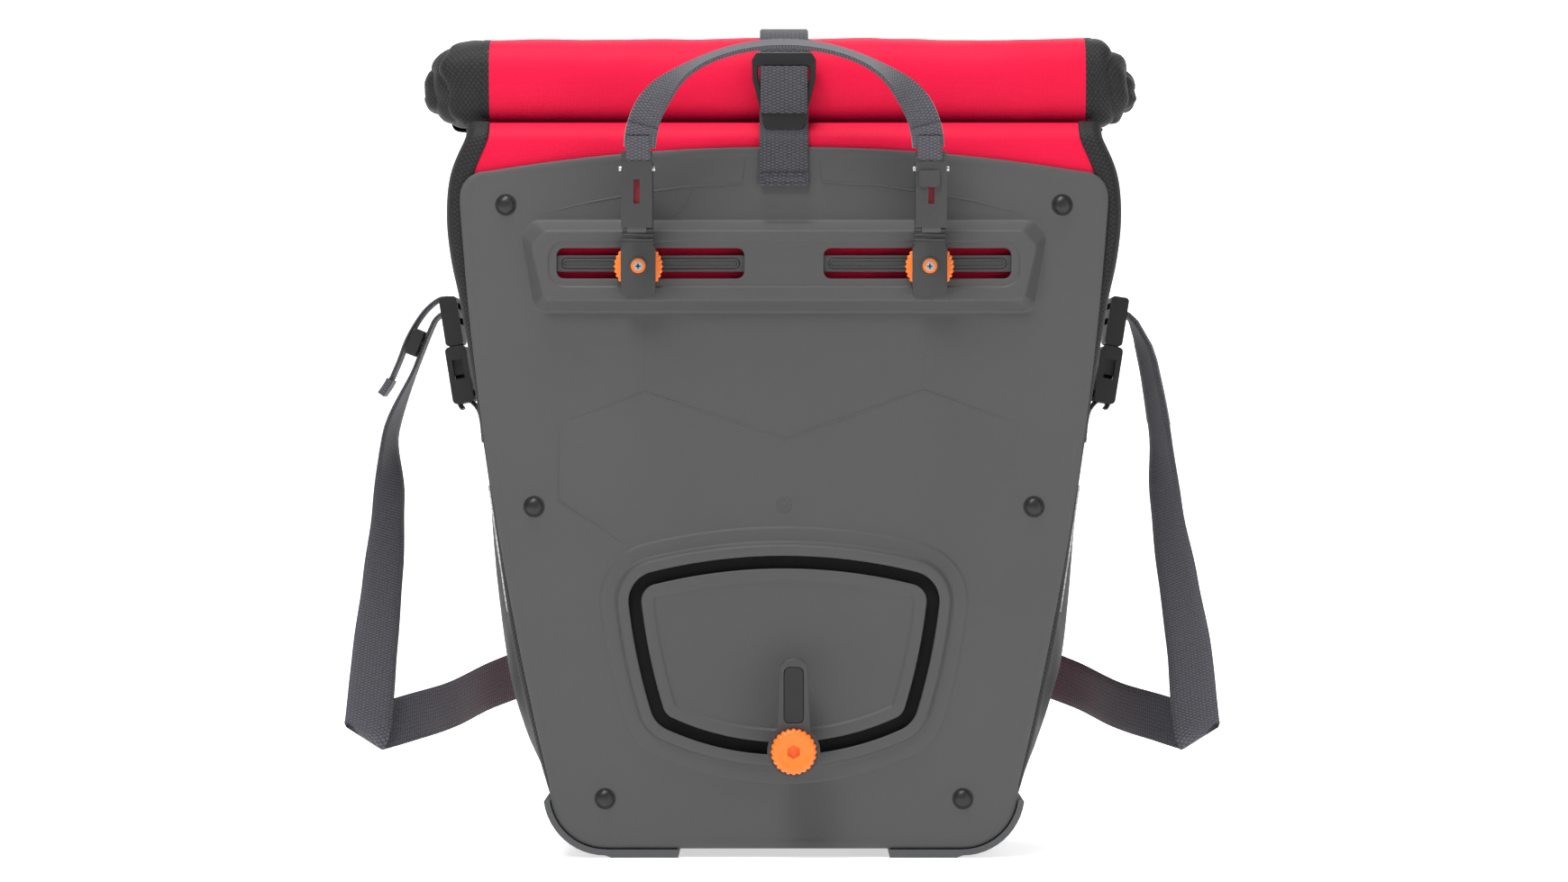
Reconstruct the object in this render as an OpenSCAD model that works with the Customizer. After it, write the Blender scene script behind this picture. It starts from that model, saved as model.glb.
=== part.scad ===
// Roll-top pannier bag with a moulded back plate, two rack hooks and a lower stay hook.
// Millimetres. +Z is up, -Y is the rack side, +X is to the right seen from the rack side.
// The origin is the bottom centre of the bag, on the surface that its feet stand on.

/* [Back plate] */
// Half width of the plate at its top corners
plate_half_w = 165.6; // [155:1:175]
// Height of the top edge at the middle
plate_top_z = 363; // [350:1:380]
// Wall of the moulded plate
plate_wall = 3; // [2.5:0.5:4]
// How far the hook block stands out of the plate
block_depth = 8; // [6:0.5:10]
// How far the grooved boss stands out of the plate
boss_depth = 5; // [4:0.5:6]
// Radius of the rivet heads
rivet_head_r = 4.5; // [3:0.5:6]

/* [Bag] */
// Depth of the bag at its fullest
bag_depth = 186; // [150:2:210]
// Thickness of the fabric wall as a solid
fabric_wall = 2.5; // [1.5:0.5:4]
// Height of the roll above the bag's neck
roll_h = 55; // [45:1:65]
// Depth of the roll from front to back
roll_d = 58; // [48:1:70]

/* [Hooks] */
// Sideways place of each hook from the middle
hook_x = 74; // [60:0.5:90]
// Radius of the rack tube that the hooks take
tube_r = 8.1; // [5:0.1:8.5]
// Radius of the thumbwheels
wheel_r = 12.4; // [11:0.1:14]
// Width of the hook
hook_w = 15.6; // [14:0.2:18]

/* [Lower hook] */
// Length of the arm from its pivot to the tip
arm_len = 47; // [40:1:52]
// Radius of the clamping knob
knob_r = 11.6; // [10:0.1:13]
// Gap behind the arm for the stay of the rack
stay_gap = 17; // [14:0.5:20]

/* [Webbing] */
// Width of the shoulder and closure webbing
strap_w = 25; // [20:1:30]
// Thickness of webbing
strap_t = 1.6; // [1.2:0.1:2.4]

/* [Hidden] */
$fn = 48;
face_y = -72.5;               // rack-side face of the plate

// ---- curves -----------------------------------------------------------------------------------
function on_circle(c, r, a) = [c[0] + r * cos(a), c[1] + r * sin(a)];
function arc(c, r, a0, a1, n) = [for (i = [0:n]) on_circle(c, r, a0 + (a1 - a0) * i / n)];
function bow(p, q, sag, n) = [
    for (i = [0:n])
        let (t = i / n, d = q - p, u = [d[1], -d[0]] / norm(d))
        p + d * t + u * (4 * sag * t * (1 - t))
];
function mirrored(half) = [for (i = [len(half) - 1:-1:0]) [-half[i][0], half[i][1]]];
function both(half) = concat(half, mirrored(half));
function mix(a, b, t) = a + (b - a) * t;
// value at z of a table of [z, value] rows, with smooth steps between its rows
function table(rows, z, i = 0) =
    i >= len(rows) - 1 ? rows[len(rows) - 1][1]
    : z <= rows[i + 1][0]
        ? mix(rows[i][1], rows[i + 1][1], max(0, (z - rows[i][0]) / (rows[i + 1][0] - rows[i][0])))
        : table(rows, z, i + 1);

// A shape drawn in x and z, pushed from y0 back to y1
module upright(y0, y1) {
    translate([0, y1, 0]) rotate([90, 0, 0]) linear_extrude(y1 - y0) children();
}
// A shape drawn in y and z, from x0 to x1
module sideways(x0, x1) {
    translate([x0, 0, 0]) rotate([90, 0, 90]) linear_extrude(x1 - x0) children();
}
// A bar along y
module rod_y(x, z, r, y0, y1) {
    translate([x, y1, z]) rotate([90, 0, 0]) cylinder(r = r, h = y1 - y0);
}
// A bar along x
module rod_x(y, z, r, x0, x1) {
    translate([x0, y, z]) rotate([0, 90, 0]) cylinder(r = r, h = x1 - x0);
}
module stadium(x0, x1, z0, z1) {
    r = (z1 - z0) / 2;
    translate([x0 + r, z0]) square([x1 - x0 - 2 * r, z1 - z0]);
    for (x = [x0 + r, x1 - r]) translate([x, z0 + r]) circle(r = r);
}
module rounded_box(x0, x1, z0, z1, r) {
    translate([x0 + r, z0]) square([x1 - x0 - 2 * r, z1 - z0]);
    translate([x0, z0 + r]) square([x1 - x0, z1 - z0 - 2 * r]);
    for (x = [x0 + r, x1 - r], z = [z0 + r, z1 - r]) translate([x, z]) circle(r = r);
}
module at_rack() {
    translate([0, face_y, 0]) children();
}
// Rings of points, each the same length, closed at both ends into one solid
module loft(rings) {
    n = len(rings[0]);
    m = len(rings);
    points = [for (ring = rings) for (p = ring) p];
    walls = [
        for (k = [0:m - 2]) for (i = [0:n - 1])
            let (j = (i + 1) % n)
            for (f = [[k * n + i, (k + 1) * n + i, (k + 1) * n + j], [k * n + i, (k + 1) * n + j, k * n + j]])
            f
    ];
    low = [[for (i = [0:n - 1]) i]];
    high = [[for (i = [n - 1:-1:0]) (m - 1) * n + i]];
    polyhedron(points = points, faces = concat(low, walls, high), convexity = 8);
}

// ---- back plate -------------------------------------------------------------------------------
corner_r = 13;
foot_corner_r = 28.6;
plate_foot_z = 4.6;
corner_x = plate_half_w - corner_r;
corner_z = plate_top_z - 25.5;
foot_x = 91;
foot_z = plate_foot_z + foot_corner_r;
function plate_half() = concat(
    [[0, plate_foot_z]],
    arc([foot_x, foot_z], foot_corner_r, -90, -8, 10),
    bow([foot_x + foot_corner_r, foot_z + 4], [plate_half_w, corner_z - 4], 6.3, 12),
    arc([corner_x, corner_z], corner_r, 0, 84, 8),
    bow([corner_x - 3, corner_z + corner_r + 0.4], [0, plate_top_z], 3.2, 8)
);
rivet_places = [for (s = [-1, 1], p = [[142, 333.3], [127.6, 179.2], [91.3, 30.1]]) [s * p[0], p[1]]];

// hook block
block_top_z = 325;
block_foot_z = 279;
block_top_x = 134;
block_foot_x = 127;
function block_outline(d) = both([
    [0, block_foot_z + d],
    [block_foot_x - d, block_foot_z + d],
    [block_top_x - d, block_top_z - 8 - d],
    [block_top_x - 7 - d, block_top_z - d],
    [0, block_top_z - d]
]);
slot_z0 = 295.5;
slot_z1 = 311;
slot_in = 20.3;
slot_out = 115.6;
rail_z0 = 299;
rail_z1 = 307.4;

// groove round the boss: a flat-bottomed ring of tangent arcs, d outside its middle line
groove_pivot = [0, 196.4];
groove_r = 140.4;
groove_turn = 24.5;
ring_corner = 12;
side_r = 300;
c_low = groove_pivot + (groove_r - ring_corner) * [sin(groove_turn), -cos(groove_turn)];
c_side = c_low - (side_r - ring_corner) * [cos(-17), sin(-17)];
c_high = c_side + (side_r - ring_corner) * [cos(-6.5), sin(-6.5)];
top_r = c_high[0] / cos(76) + ring_corner;
c_top = c_high - (top_r - ring_corner) * [cos(76), sin(76)];
function ring_half(d) = concat(
    arc(groove_pivot, groove_r + d, -90, -90 + groove_turn, 12),
    arc(c_low, ring_corner + d, -90 + groove_turn + 8, -25, 6),
    arc(c_side, side_r + d, -17, -6.5, 6),
    arc(c_high, ring_corner + d, 1, 68, 7),
    arc(c_top, top_r + d, 76, 90, 7)
);
groove_half_w = 3.2;
shoe_half_w = 5.2;

module back_plate() color([0.37, 0.37, 0.37]) at_rack() {
    difference() {
        union() {
            upright(0, plate_wall) polygon(both(plate_half()));
            hull() {
                upright(-0.4, 1) polygon(block_outline(0));
                upright(-block_depth, -block_depth + 0.5) polygon(block_outline(6));
            }
            upright(-boss_depth, 0.5) polygon(both(ring_half(7)));
        }
        // hollow behind the hook block
        hull() {
            upright(1, plate_wall + 1) polygon(block_outline(5));
            upright(-block_depth + plate_wall, -block_depth + plate_wall + 0.5)
                polygon(block_outline(8.5));
        }
        for (s = [-1, 1])
            upright(-block_depth - 1, plate_wall + 1)
                rounded_box(min(s * slot_in, s * slot_out), max(s * slot_in, s * slot_out),
                            slot_z0, slot_z1, 3.6);
        // groove with a wider floor that holds the shoe
        upright(-boss_depth - 1, 0) difference() {
            polygon(both(ring_half(groove_half_w)));
            polygon(both(ring_half(-groove_half_w)));
        }
        upright(-2.6, 0) difference() {
            polygon(both(ring_half(shoe_half_w + 0.4)));
            polygon(both(ring_half(-shoe_half_w - 0.4)));
        }
        // the badge field inside the groove is sunk a little
        upright(-boss_depth - 1, -boss_depth + 1) polygon(both(ring_half(-12)));
        for (p = rivet_places) rod_y(p[0], p[1], 2.3, -1, plate_wall + 1);
    }
}

module rivets() color([0.12, 0.12, 0.12]) at_rack()
    for (p = rivet_places) {
        rod_y(p[0], p[1], 2.2, -0.5, plate_wall + fabric_wall + 1.2);
        translate([p[0], 0, p[1]]) rotate([90, 0, 0]) intersection() {
            translate([0, 0, -4.6]) sphere(r = 7);
            cylinder(r = rivet_head_r, h = 4);
        }
    }

module rivet_washers() color([0.75, 0.75, 0.76]) at_rack()
    for (p = rivet_places)
        translate([p[0], plate_wall + fabric_wall + 1.3, p[1]]) rotate([90, 0, 0]) difference() {
            cylinder(r = 5.5, h = 0.9);
            translate([0, 0, -1]) cylinder(r = 2.25, h = 3);
        }

// A guide bar with a raised rim that lies behind one slot of the hook block
rail_y0 = plate_wall - block_depth;
rail_y1 = rail_y0 + 2.6;
module rail(s) at_rack() {
    x0 = min(s * 17, s * 119);
    x1 = max(s * 17, s * 119);
    difference() {
        upright(rail_y0, rail_y1) stadium(x0, x1, rail_z0, rail_z1);
        upright(rail_y0 - 1, rail_y0 + 0.6)
            stadium(x0 + 5.5, x1 - 5.5, rail_z0 + 1.4, rail_z1 - 1.4);
    }
}
module rail_left() color([0.2, 0.2, 0.2]) rail(-1);
module rail_right() color([0.2, 0.2, 0.2]) rail(1);

// ---- bag --------------------------------------------------------------------------------------
bag_y0 = plate_wall + 0.3;
bag_floor_z = 7;
bag_mouth_z = 368;
bag_w = [[7, 96], [14, 109], [24, 117], [40, 122.5], [60, 128], [107, 138.5], [162, 147], [217, 155],
         [290, 167], [327, 168.5], [350, 167], [368, 160]];
bag_d = [[7, 150], [30, 168], [80, 182], [150, 186], [230, 184], [290, 170], [327, 138], [350, 96],
         [368, 62]];
function bag_back(z) = table(bag_d, z) * bag_depth / 186;
// one ring of the bag at height z, inset by t: flat at the rack side and crowned at the outer side
function bag_ring(z, t) =
    let (w = table(bag_w, z) - t, y0 = bag_y0 + t, y1 = bag_back(z) - t,
         rf = 7, rb = min(44, (y1 - y0) * 0.45))
    [for (p = concat(
        arc([w - rf, y0 + rf], rf, -90, 0, 4),
        arc([w - rb, y1 - rb], rb, 0, 82, 7),
        [[0, y1 + 2.5]],
        arc([-w + rb, y1 - rb], rb, 98, 180, 7),
        arc([-w + rf, y0 + rf], rf, 180, 270, 4)))
        [p[0], p[1], z]];
low_z = [12, 24, 40, 60, 107, 162, 217, 256, 290];
high_z = [290, 310, 327, 340, 350, 360, 368];
all_z = concat([for (i = [0:len(low_z) - 2]) low_z[i]], high_z);
// the bag's wall from point i0 to point i1 of its ring, at the given heights
module bag_wall(i0, i1, heights)
    loft([for (z = heights)
        let (outer = bag_ring(z, 0), inner = bag_ring(z, fabric_wall), n = len(outer))
        concat([for (i = [i0:i1]) outer[i % n]], [for (i = [i1:-1:i0]) inner[i % n]])]);
// places in the ring: where the four rounded corners start and end
back_start = 5;
back_flat = 12;
rear_flat = 14;
rear_end = 21;
ring_points = 27;
module rack_panel() color([0.86, 0.12, 0.25]) at_rack() difference() {
    bag_wall(ring_points - 1, ring_points, all_z);
    for (p = rivet_places) rod_y(p[0], p[1], 2.3, 0, plate_wall + fabric_wall + 2);
}
module outer_panel() color([0.86, 0.12, 0.25]) at_rack() bag_wall(back_flat, rear_flat, low_z);
module shoulder_panel() color([0.86, 0.12, 0.25]) at_rack() bag_wall(back_flat, rear_flat, high_z);
module corner_right() color([0.2, 0.2, 0.2]) at_rack() bag_wall(back_start, back_flat, low_z);
module corner_left() color([0.2, 0.2, 0.2]) at_rack() bag_wall(rear_flat, rear_end, low_z);
module corner_right_top() color([0.2, 0.2, 0.2]) at_rack() bag_wall(back_start, back_flat, high_z);
module corner_left_top() color([0.2, 0.2, 0.2]) at_rack() bag_wall(rear_flat, rear_end, high_z);
module gusset_right() color([0.2, 0.2, 0.2]) at_rack() bag_wall(0, back_start, all_z);
module gusset_left() color([0.2, 0.2, 0.2]) at_rack() bag_wall(rear_end, ring_points - 1, all_z);
module bag_base() color([0.2, 0.2, 0.2]) at_rack()
    loft([for (p = [[7, 4], [9.5, 0.6], [12, 0]]) bag_ring(p[0], p[1])]);
module base_board() color([0.25, 0.25, 0.26]) at_rack()
    translate([0, 0, 12.6]) linear_extrude(2)
        rounded_box(-98, 98, bag_y0 + fabric_wall + 4, 138, 20);

// roll
roll_y = 38.5;
roll_z = bag_mouth_z + 1 + roll_h / 2;
function roll_ring(x, k) = [
    for (i = [0:27])
        let (a = 360 * i / 28, c = cos(a), s = sin(a), q = pow(pow(abs(c), 2.6) + pow(abs(s), 2.6), -1 / 2.6))
        [x, roll_y + q * c * roll_d / 2 * k, roll_z + q * s * roll_h / 2 * k]];
module roll_top() color([0.9, 0.14, 0.28]) at_rack() difference() {
    loft([for (x = [-154, -110, -60, 0, 60, 110, 157.5]) roll_ring(x, x == -154 || x == 157.5 ? 0.975 : 1)]);
    translate([-141, roll_y - 1.6, roll_z - 13.1]) cube([282, 3.2, 26.2]);
}
module roll_end_left() color([0.2, 0.2, 0.2]) at_rack()
    loft([for (p = [[-187.5, 0.36], [-184, 0.5], [-176, 0.6], [-172, 0.86], [-166, 0.95], [-154.3, 0.97]])
        roll_ring(p[0], p[1])]);
module roll_end_right() color([0.2, 0.2, 0.2]) at_rack()
    loft([for (p = [[157.8, 0.97], [167, 0.95], [170, 0.8], [178, 0.6], [181.5, 0.5], [183, 0.4]])
        roll_ring(p[0], p[1])]);
module roll_stiffener() color([0.8, 0.8, 0.8]) at_rack()
    translate([-140, roll_y - 1, roll_z - 12.5]) cube([280, 2, 25]);

// ---- corner guards and reflectors --------------------------------------------------------------
guard_t = 3.4;
guard_y1 = 132;
// the strip that follows the bottom corner, with the foot pad below it
module guard(s) at_rack() {
    upright(-1.5, guard_y1) difference() {
        union() {
            polygon([for (p = concat(
                arc([foot_x, foot_z], foot_corner_r + guard_t, -90, -8, 12),
                arc([foot_x, foot_z], foot_corner_r + 0.3, -8, -90, 12))) [s * p[0], p[1]]]);
            polygon([for (p = [[54, 0], [88, 0], [92, 1.5], [92, 4.2], [54, 4.2]]) [s * p[0], p[1]]]);
        }
        polygon([for (p = concat([[40, plate_foot_z - 0.3]],
            arc([foot_x, foot_z], foot_corner_r + 0.3, -90, -5, 12), [[40, 60]])) [s * p[0], p[1]]]);
    }
}
module guard_left() color([0.3, 0.3, 0.31]) guard(-1);
module guard_right() color([0.3, 0.3, 0.31]) guard(1);

// retroreflective patch on each side, low and towards the rack
module reflector(s) at_rack()
    loft([for (k = [0:6])
        let (z = mix(125, 190, k / 6), w = table(bag_w, z))
        [for (p = [[w + 0.3, 16], [w + 1.1, 16], [w + 1.1, 46], [w + 0.3, 46]]) [s * p[0], s * (p[1] - 31) + 31, z]]]);
module reflector_left() color([0.8, 0.81, 0.82]) reflector(-1);
module reflector_right() color([0.8, 0.81, 0.82]) reflector(1);

// ---- rack hooks -------------------------------------------------------------------------------
// All are drawn about x = 0 and moved to their place; y runs back from the plate's face.
foot_y1 = -block_depth - 5;        // back of the clamp foot
foot_t = 4;
hook_back_y = foot_y1 - foot_t;    // front of the back leg, where the tube's space starts
liner_t = 0.9;
seat_r = tube_r + liner_t + 0.05;
tube_y = hook_back_y - seat_r;
hook_top_z = 353.5;
tube_z = hook_top_z - 4 - seat_r;
leg_y0 = tube_y - seat_r - 2.9;    // front of the front leg
pin_y = leg_y0 + 2.8;
pin_z = hook_top_z - 3.8;
pin_r = 1.4;
screw_z = 301.5;
core_w = 9.6;
module at_hook(s) {
    translate([s * hook_x, face_y, 0]) children();
}
module hook_profile() {
    difference() {
        union() {
            translate([hook_back_y, 286]) square([foot_t, hook_top_z - 286 - 5]);
            translate([tube_y, tube_z]) square([seat_r + foot_t - 2, hook_top_z - tube_z]);
            translate([leg_y0 + 3, tube_z]) square([tube_y - leg_y0 - 3 + 1, hook_top_z - tube_z - 0.8]);
            translate([leg_y0, 327]) square([4, pin_z - 327]);
            translate([pin_y, pin_z]) circle(r = 3);
            translate([hook_back_y + foot_t - 6, hook_top_z - 6]) circle(r = 6);
        }
        translate([tube_y, tube_z]) circle(r = seat_r);
        translate([tube_y - seat_r, 280]) square([2 * seat_r, tube_z - 280]);
    }
}
module hook_body(s) color([0.21, 0.21, 0.21]) at_hook(s) {
    difference() {
        union() {
            // the front leg is narrower, so that the latch's cheeks fit beside it
            intersection() {
                sideways(-hook_w / 2, hook_w / 2) hook_profile();
                translate([-20, tube_y - 6.5, 280]) cube([40, 60, 100]);
            }
            sideways(-core_w / 2, core_w / 2) hook_profile();
            upright(hook_back_y, foot_y1) rounded_box(-8.8, 8.8, 286, 311.5, 1.5);
            for (z = [313.2, 315.6, 318]) translate([-hook_w / 2 - 0.6, hook_back_y - 0.01, z - 0.6])
                cube([hook_w + 1.2, foot_t, 1.2]);
        }
        rod_y(0, screw_z, 4.05, hook_back_y - 1, foot_y1 + 1);
        rod_x(pin_y, pin_z, pin_r + 0.05, -12, 12);
        // window that shows the flag
        translate([-1.6, leg_y0 - 1, 331]) cube([3.2, 1.9, 13]);
    }
}
module hook_body_left() hook_body(-1);
module hook_body_right() hook_body(1);

// A half ring that narrows the hook to the tube's size
module hook_liner(s) color([0.1, 0.1, 0.1]) at_hook(s)
    sideways(-hook_w / 2 + 0.3, hook_w / 2 - 0.3) difference() {
        translate([tube_y, tube_z]) circle(r = tube_r + liner_t);
        translate([tube_y, tube_z]) circle(r = tube_r);
        translate([tube_y - 20, tube_z - 40]) square([40, 40]);
    }
module hook_liner_left() hook_liner(-1);
module hook_liner_right() hook_liner(1);

latch_wall = 2.8;
latch_y1 = leg_y0 - 0.4;
latch_y0 = latch_y1 - latch_wall;
module latch(s) color([0.14, 0.14, 0.14]) at_hook(s) difference() {
    union() {
        translate([-hook_w / 2, latch_y0, 320]) cube([hook_w, latch_wall, 33]);
        // toe that closes the mouth under the tube
        sideways(-core_w / 2, core_w / 2) polygon([
            [latch_y0, 320], [latch_y0 + 1.2, 317.6], [tube_y + 3, 318.6], [tube_y + 3.6, 320.4],
            [leg_y0 + 3, 323.6], [latch_y1, 323.6], [latch_y0, 323.6]]);
        // cheeks beside the front leg, and ears that hold the webbing bar
        for (m = [-1, 1]) sideways(min(m * 5.1, m * hook_w / 2), max(m * 5.1, m * hook_w / 2)) {
            polygon([[latch_y0 + 0.5, 324], [latch_y1 + 2.2, 327], [pin_y + 2.2, pin_z - 2],
                     [pin_y + 2.2, pin_z + 1.2], [pin_y - 0.4, pin_z + 4.4],
                     [latch_y0 + 4.6, 358.4], [latch_y0 + 0.5, 358.4]]);
        }
    }
    rod_x(tube_y, tube_z, seat_r + 0.35, -12, 12);
    rod_x(pin_y, pin_z, pin_r, -12, 12);
    translate([-1.5, latch_y0 - 1, 332]) cube([3, 5, 12]);
    rod_x(latch_y0 + 2.6, 356.4, 1.1, -hook_w / 2 + 1.2, hook_w / 2 - 1.2);
}
module latch_left() latch(-1);
module latch_right() latch(1);

module latch_pin(s) color([0.8, 0.8, 0.82]) at_hook(s) {
    rod_x(pin_y, pin_z, pin_r, -hook_w / 2 - 1.4, hook_w / 2 + 1.4);
    rod_x(latch_y0 + 2.6, 356.4, 1.1, -hook_w / 2 + 1.2, hook_w / 2 - 1.2);
}
module latch_pin_left() latch_pin(-1);
module latch_pin_right() latch_pin(1);

// red flag behind the latch's window
module latch_flag(s) color([0.75, 0.1, 0.15]) at_hook(s)
    translate([-1.5, leg_y0 + 0.1, 331.1]) cube([3, 0.7, 12.8]);
module latch_flag_left() latch_flag(-1);
module latch_flag_right() latch_flag(1);

module clamp_screw(s) color([0.8, 0.8, 0.82]) at_hook(s) difference() {
    union() {
        rod_y(0, screw_z, 1.55, hook_back_y + 0.5, rail_y0 - 0.4);
        rod_y(0, screw_z, 2.4, hook_back_y - 0.9, hook_back_y + 0.7);
    }
    for (w = [[2.6, 0.7], [0.7, 2.6]])
        translate([-w[0] / 2, hook_back_y - 2, screw_z - w[1] / 2]) cube([w[0], 2, w[1]]);
}
module clamp_screw_left() clamp_screw(-1);
module clamp_screw_right() clamp_screw(1);

// shoe that runs in the slot and wraps the guide bar
module slide_shoe(s) color([0.16, 0.16, 0.16]) at_hook(s) difference() {
    translate([-9, -block_depth - 0.4, slot_z0 + 0.6]) cube([18, block_depth, slot_z1 - slot_z0 - 1.2]);
    translate([-10, rail_y0 - 0.3, rail_z0 - 0.35]) cube([20, 3.2, rail_z1 - rail_z0 + 0.7]);
    rod_y(0, screw_z, 1.55, -20, 5);
}
module slide_shoe_left() slide_shoe(-1);
module slide_shoe_right() slide_shoe(1);

module thumbwheel(s) color([0.99, 0.57, 0.28]) at_hook(s) difference() {
    union() {
        upright(foot_y1 + 0.3, -block_depth - 0.7) translate([0, screw_z]) difference() {
            circle(r = wheel_r);
            for (i = [0:23]) translate(on_circle([0, 0], wheel_r + 0.4, i * 15)) circle(r = 1, $fn = 16);
        }
        rod_y(0, screw_z, 3.95, hook_back_y + 0.8, foot_y1 + 0.5);
    }
    rod_y(0, screw_z, 1.62, -30, 5);
}
module thumbwheel_left() thumbwheel(-1);
module thumbwheel_right() thumbwheel(1);

// ---- lower hook -------------------------------------------------------------------------------
stay_turn = 2;      // where along the groove the hook is set, in degrees about the groove's centre
stay_at = [groove_pivot[0] + groove_r * sin(stay_turn), groove_pivot[1] - groove_r * cos(stay_turn)];
arm_y1 = -boss_depth - stay_gap;
arm_t = 6;
stud_r = 3;
module at_stay() {
    translate([stay_at[0], face_y, stay_at[1]]) children();
}
// a full ring of the groove's radius, w to either side of its middle line
module groove_band(w, y0, y1) difference() {
    rod_y(groove_pivot[0], groove_pivot[1], groove_r + w, y0, y1);
    rod_y(groove_pivot[0], groove_pivot[1], groove_r - w, y0 - 1, y1 + 1);
}
// foot that fills the groove for a short arc, with the stud that carries arm and knob
module groove_shoe() color([0.7, 0.7, 0.72]) union() {
    at_rack() intersection() {
        union() {
            groove_band(shoe_half_w, -2.3, -0.3);
            groove_band(groove_half_w - 0.3, -boss_depth - 0.3, -2);
        }
        translate([stay_at[0] - 9, -20, stay_at[1] - 12]) cube([18, 30, 24]);
    }
    at_stay() rod_y(0, 0, stud_r, arm_y1 - arm_t - 4, -1);
}
module arm_outline() {
    circle(r = 13.4);
    polygon([[-8.6, 8], [8.6, 8], [7, arm_len - 4], [4.5, arm_len - 1], [0, arm_len],
             [-4.5, arm_len - 1], [-7, arm_len - 4]]);
}
module stay_arm() color([0.2, 0.2, 0.2]) at_stay() difference() {
    union() {
        upright(arm_y1 - arm_t, arm_y1) arm_outline();
        rod_y(0, 0, 9, arm_y1 - 0.1, -boss_depth - 0.6);
        // nose at the tip that keeps the stay in
        translate([-5, arm_y1 - 0.5, arm_len - 9]) cube([10, 5.5, 6]);
    }
    rod_y(0, 0, stud_r + 0.05, -60, 0);
    upright(arm_y1 - arm_t - 1, arm_y1 - arm_t + 1) rounded_box(-5, 5, 14, arm_len - 4.5, 3);
}
module arm_pad() color([0.13, 0.13, 0.13]) at_stay()
    upright(arm_y1 - arm_t + 0.1, arm_y1 - arm_t + 1) rounded_box(-4.8, 4.8, 14.2, arm_len - 4.7, 2.8);

knob_y1 = arm_y1 - arm_t - 0.4;
module knob() color([0.99, 0.57, 0.28]) at_stay() difference() {
    union() {
        upright(knob_y1 - 6.5, knob_y1) difference() {
            circle(r = knob_r);
            for (i = [0:17]) translate(on_circle([0, 0], knob_r + 0.8, i * 20)) circle(r = 1.5, $fn = 16);
        }
        rod_y(0, 0, knob_r - 1.6, knob_y1 - 7.6, knob_y1 - 6);
    }
    rod_y(0, 0, stud_r + 0.05, knob_y1 - 4, knob_y1 + 1);
    upright(knob_y1 - 9, knob_y1 - 4.2) circle(r = 3.1, $fn = 6);
}

// ---- webbing ----------------------------------------------------------------------------------
// One ring of flat webbing: centre, direction of its width, direction of its run
function web_ring(c, wide, run, w, t) =
    let (u = wide / norm(wide), n = cross(run, u), m = n / norm(n))
    [c - u * w / 2 - m * t / 2, c + u * w / 2 - m * t / 2, c + u * w / 2 + m * t / 2, c - u * w / 2 + m * t / 2];
// Flat webbing through rows of [centre, width direction]
module webbing(rows, w, t) {
    n = len(rows);
    loft([for (i = [n - 1:-1:0])
        web_ring(rows[i][0], rows[i][1], rows[min(i + 1, n - 1)][0] - rows[max(i - 1, 0)][0], w, t)]);
}

handle_y = latch_y0 + 2.6;
handle_foot_z = 361.2;
handle_rise = 51;
module carry_handle() color([0.3, 0.3, 0.32]) at_rack()
    webbing([for (i = [0:20])
        let (a = 180 * i / 20, e = 1 - pow(abs(cos(a)), 2.2))
        [[-(hook_x - 1.5) * cos(a), handle_y - 1, handle_foot_z + handle_rise * pow(sin(a), 0.9)],
         [cos(a) * cos(a) * cos(a) * cos(a), 1.2 * e, 0.001]]],
        16.5, 2.2);

// A strip of even thickness along a path in y and z
function strip(path, t) =
    let (n = len(path),
         side = [for (i = [0:n - 1])
            let (d = path[min(i + 1, n - 1)] - path[max(i - 1, 0)]) [-d[1], d[0]] / norm(d) * t / 2])
    concat([for (i = [0:n - 1]) path[i] + side[i]], [for (i = [n - 1:-1:0]) path[i] - side[i]]);
function roll_point(a, k) =
    let (c = cos(a), s = sin(a), q = pow(pow(abs(c), 2.6) + pow(abs(s), 2.6), -1 / 2.6))
    [roll_y + q * c * (roll_d / 2 + k), roll_z + q * s * (roll_h / 2 + k)];
bar_y = roll_y - roll_d / 2 - 5;
// how far the strap's middle stands behind the bag's outer side, more where that side slopes
function strap_off(z) =
    let (slope = (bag_back(z - 3) - bag_back(z + 3)) / 6) 2.5 + 1.6 * sqrt(1 + slope * slope);
module closure_strap() color([0.29, 0.29, 0.31]) at_rack()
    sideways(-strap_w / 2, strap_w / 2) polygon(strip(concat(
        [for (z = [236, 256, 273, 290, 308, 327, 338.5, 350, 359]) [bag_back(z) + strap_off(z), z]],
        [[roll_y + roll_d / 2 + 1.6, roll_z - 20]],
        [for (a = [0:12:192]) roll_point(a, 1.5)]), strap_t));
module closure_tail() color([0.29, 0.29, 0.31]) at_rack()
    sideways(-strap_w / 2, strap_w / 2) polygon(strip(
        [roll_point(193.5, 1.5), roll_point(200, 1.3), [7.6, 380], [7.5, 371.6], [6.2, 370], [4.4, 369.4],
         [1.2, 367.9], [-1.4, 364.6], [-1.4, 343]], strap_t));
module closure_anchor() color([0.29, 0.29, 0.31]) at_rack()
    translate([-strap_w / 2, -4.3, 343]) cube([strap_w, 1.8, 6]);

buckle_t = 3.6;
module closure_buckle() color([0.16, 0.16, 0.17]) at_rack() difference() {
    upright(bar_y - buckle_t / 2, bar_y + buckle_t / 2) difference() {
        polygon(both([[0, 371.7], [8.6, 371.7], [9.8, 373], [16.2, 398], [16.4, 408], [14, 411.6], [0, 411.6]]));
        polygon(both([[0, 382], [8.9, 382], [13.2, 399], [13.2, 404.4], [0, 404.4]]));
    }
    rod_x(bar_y, 410.2, 0.8, -9, 9);
}

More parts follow.
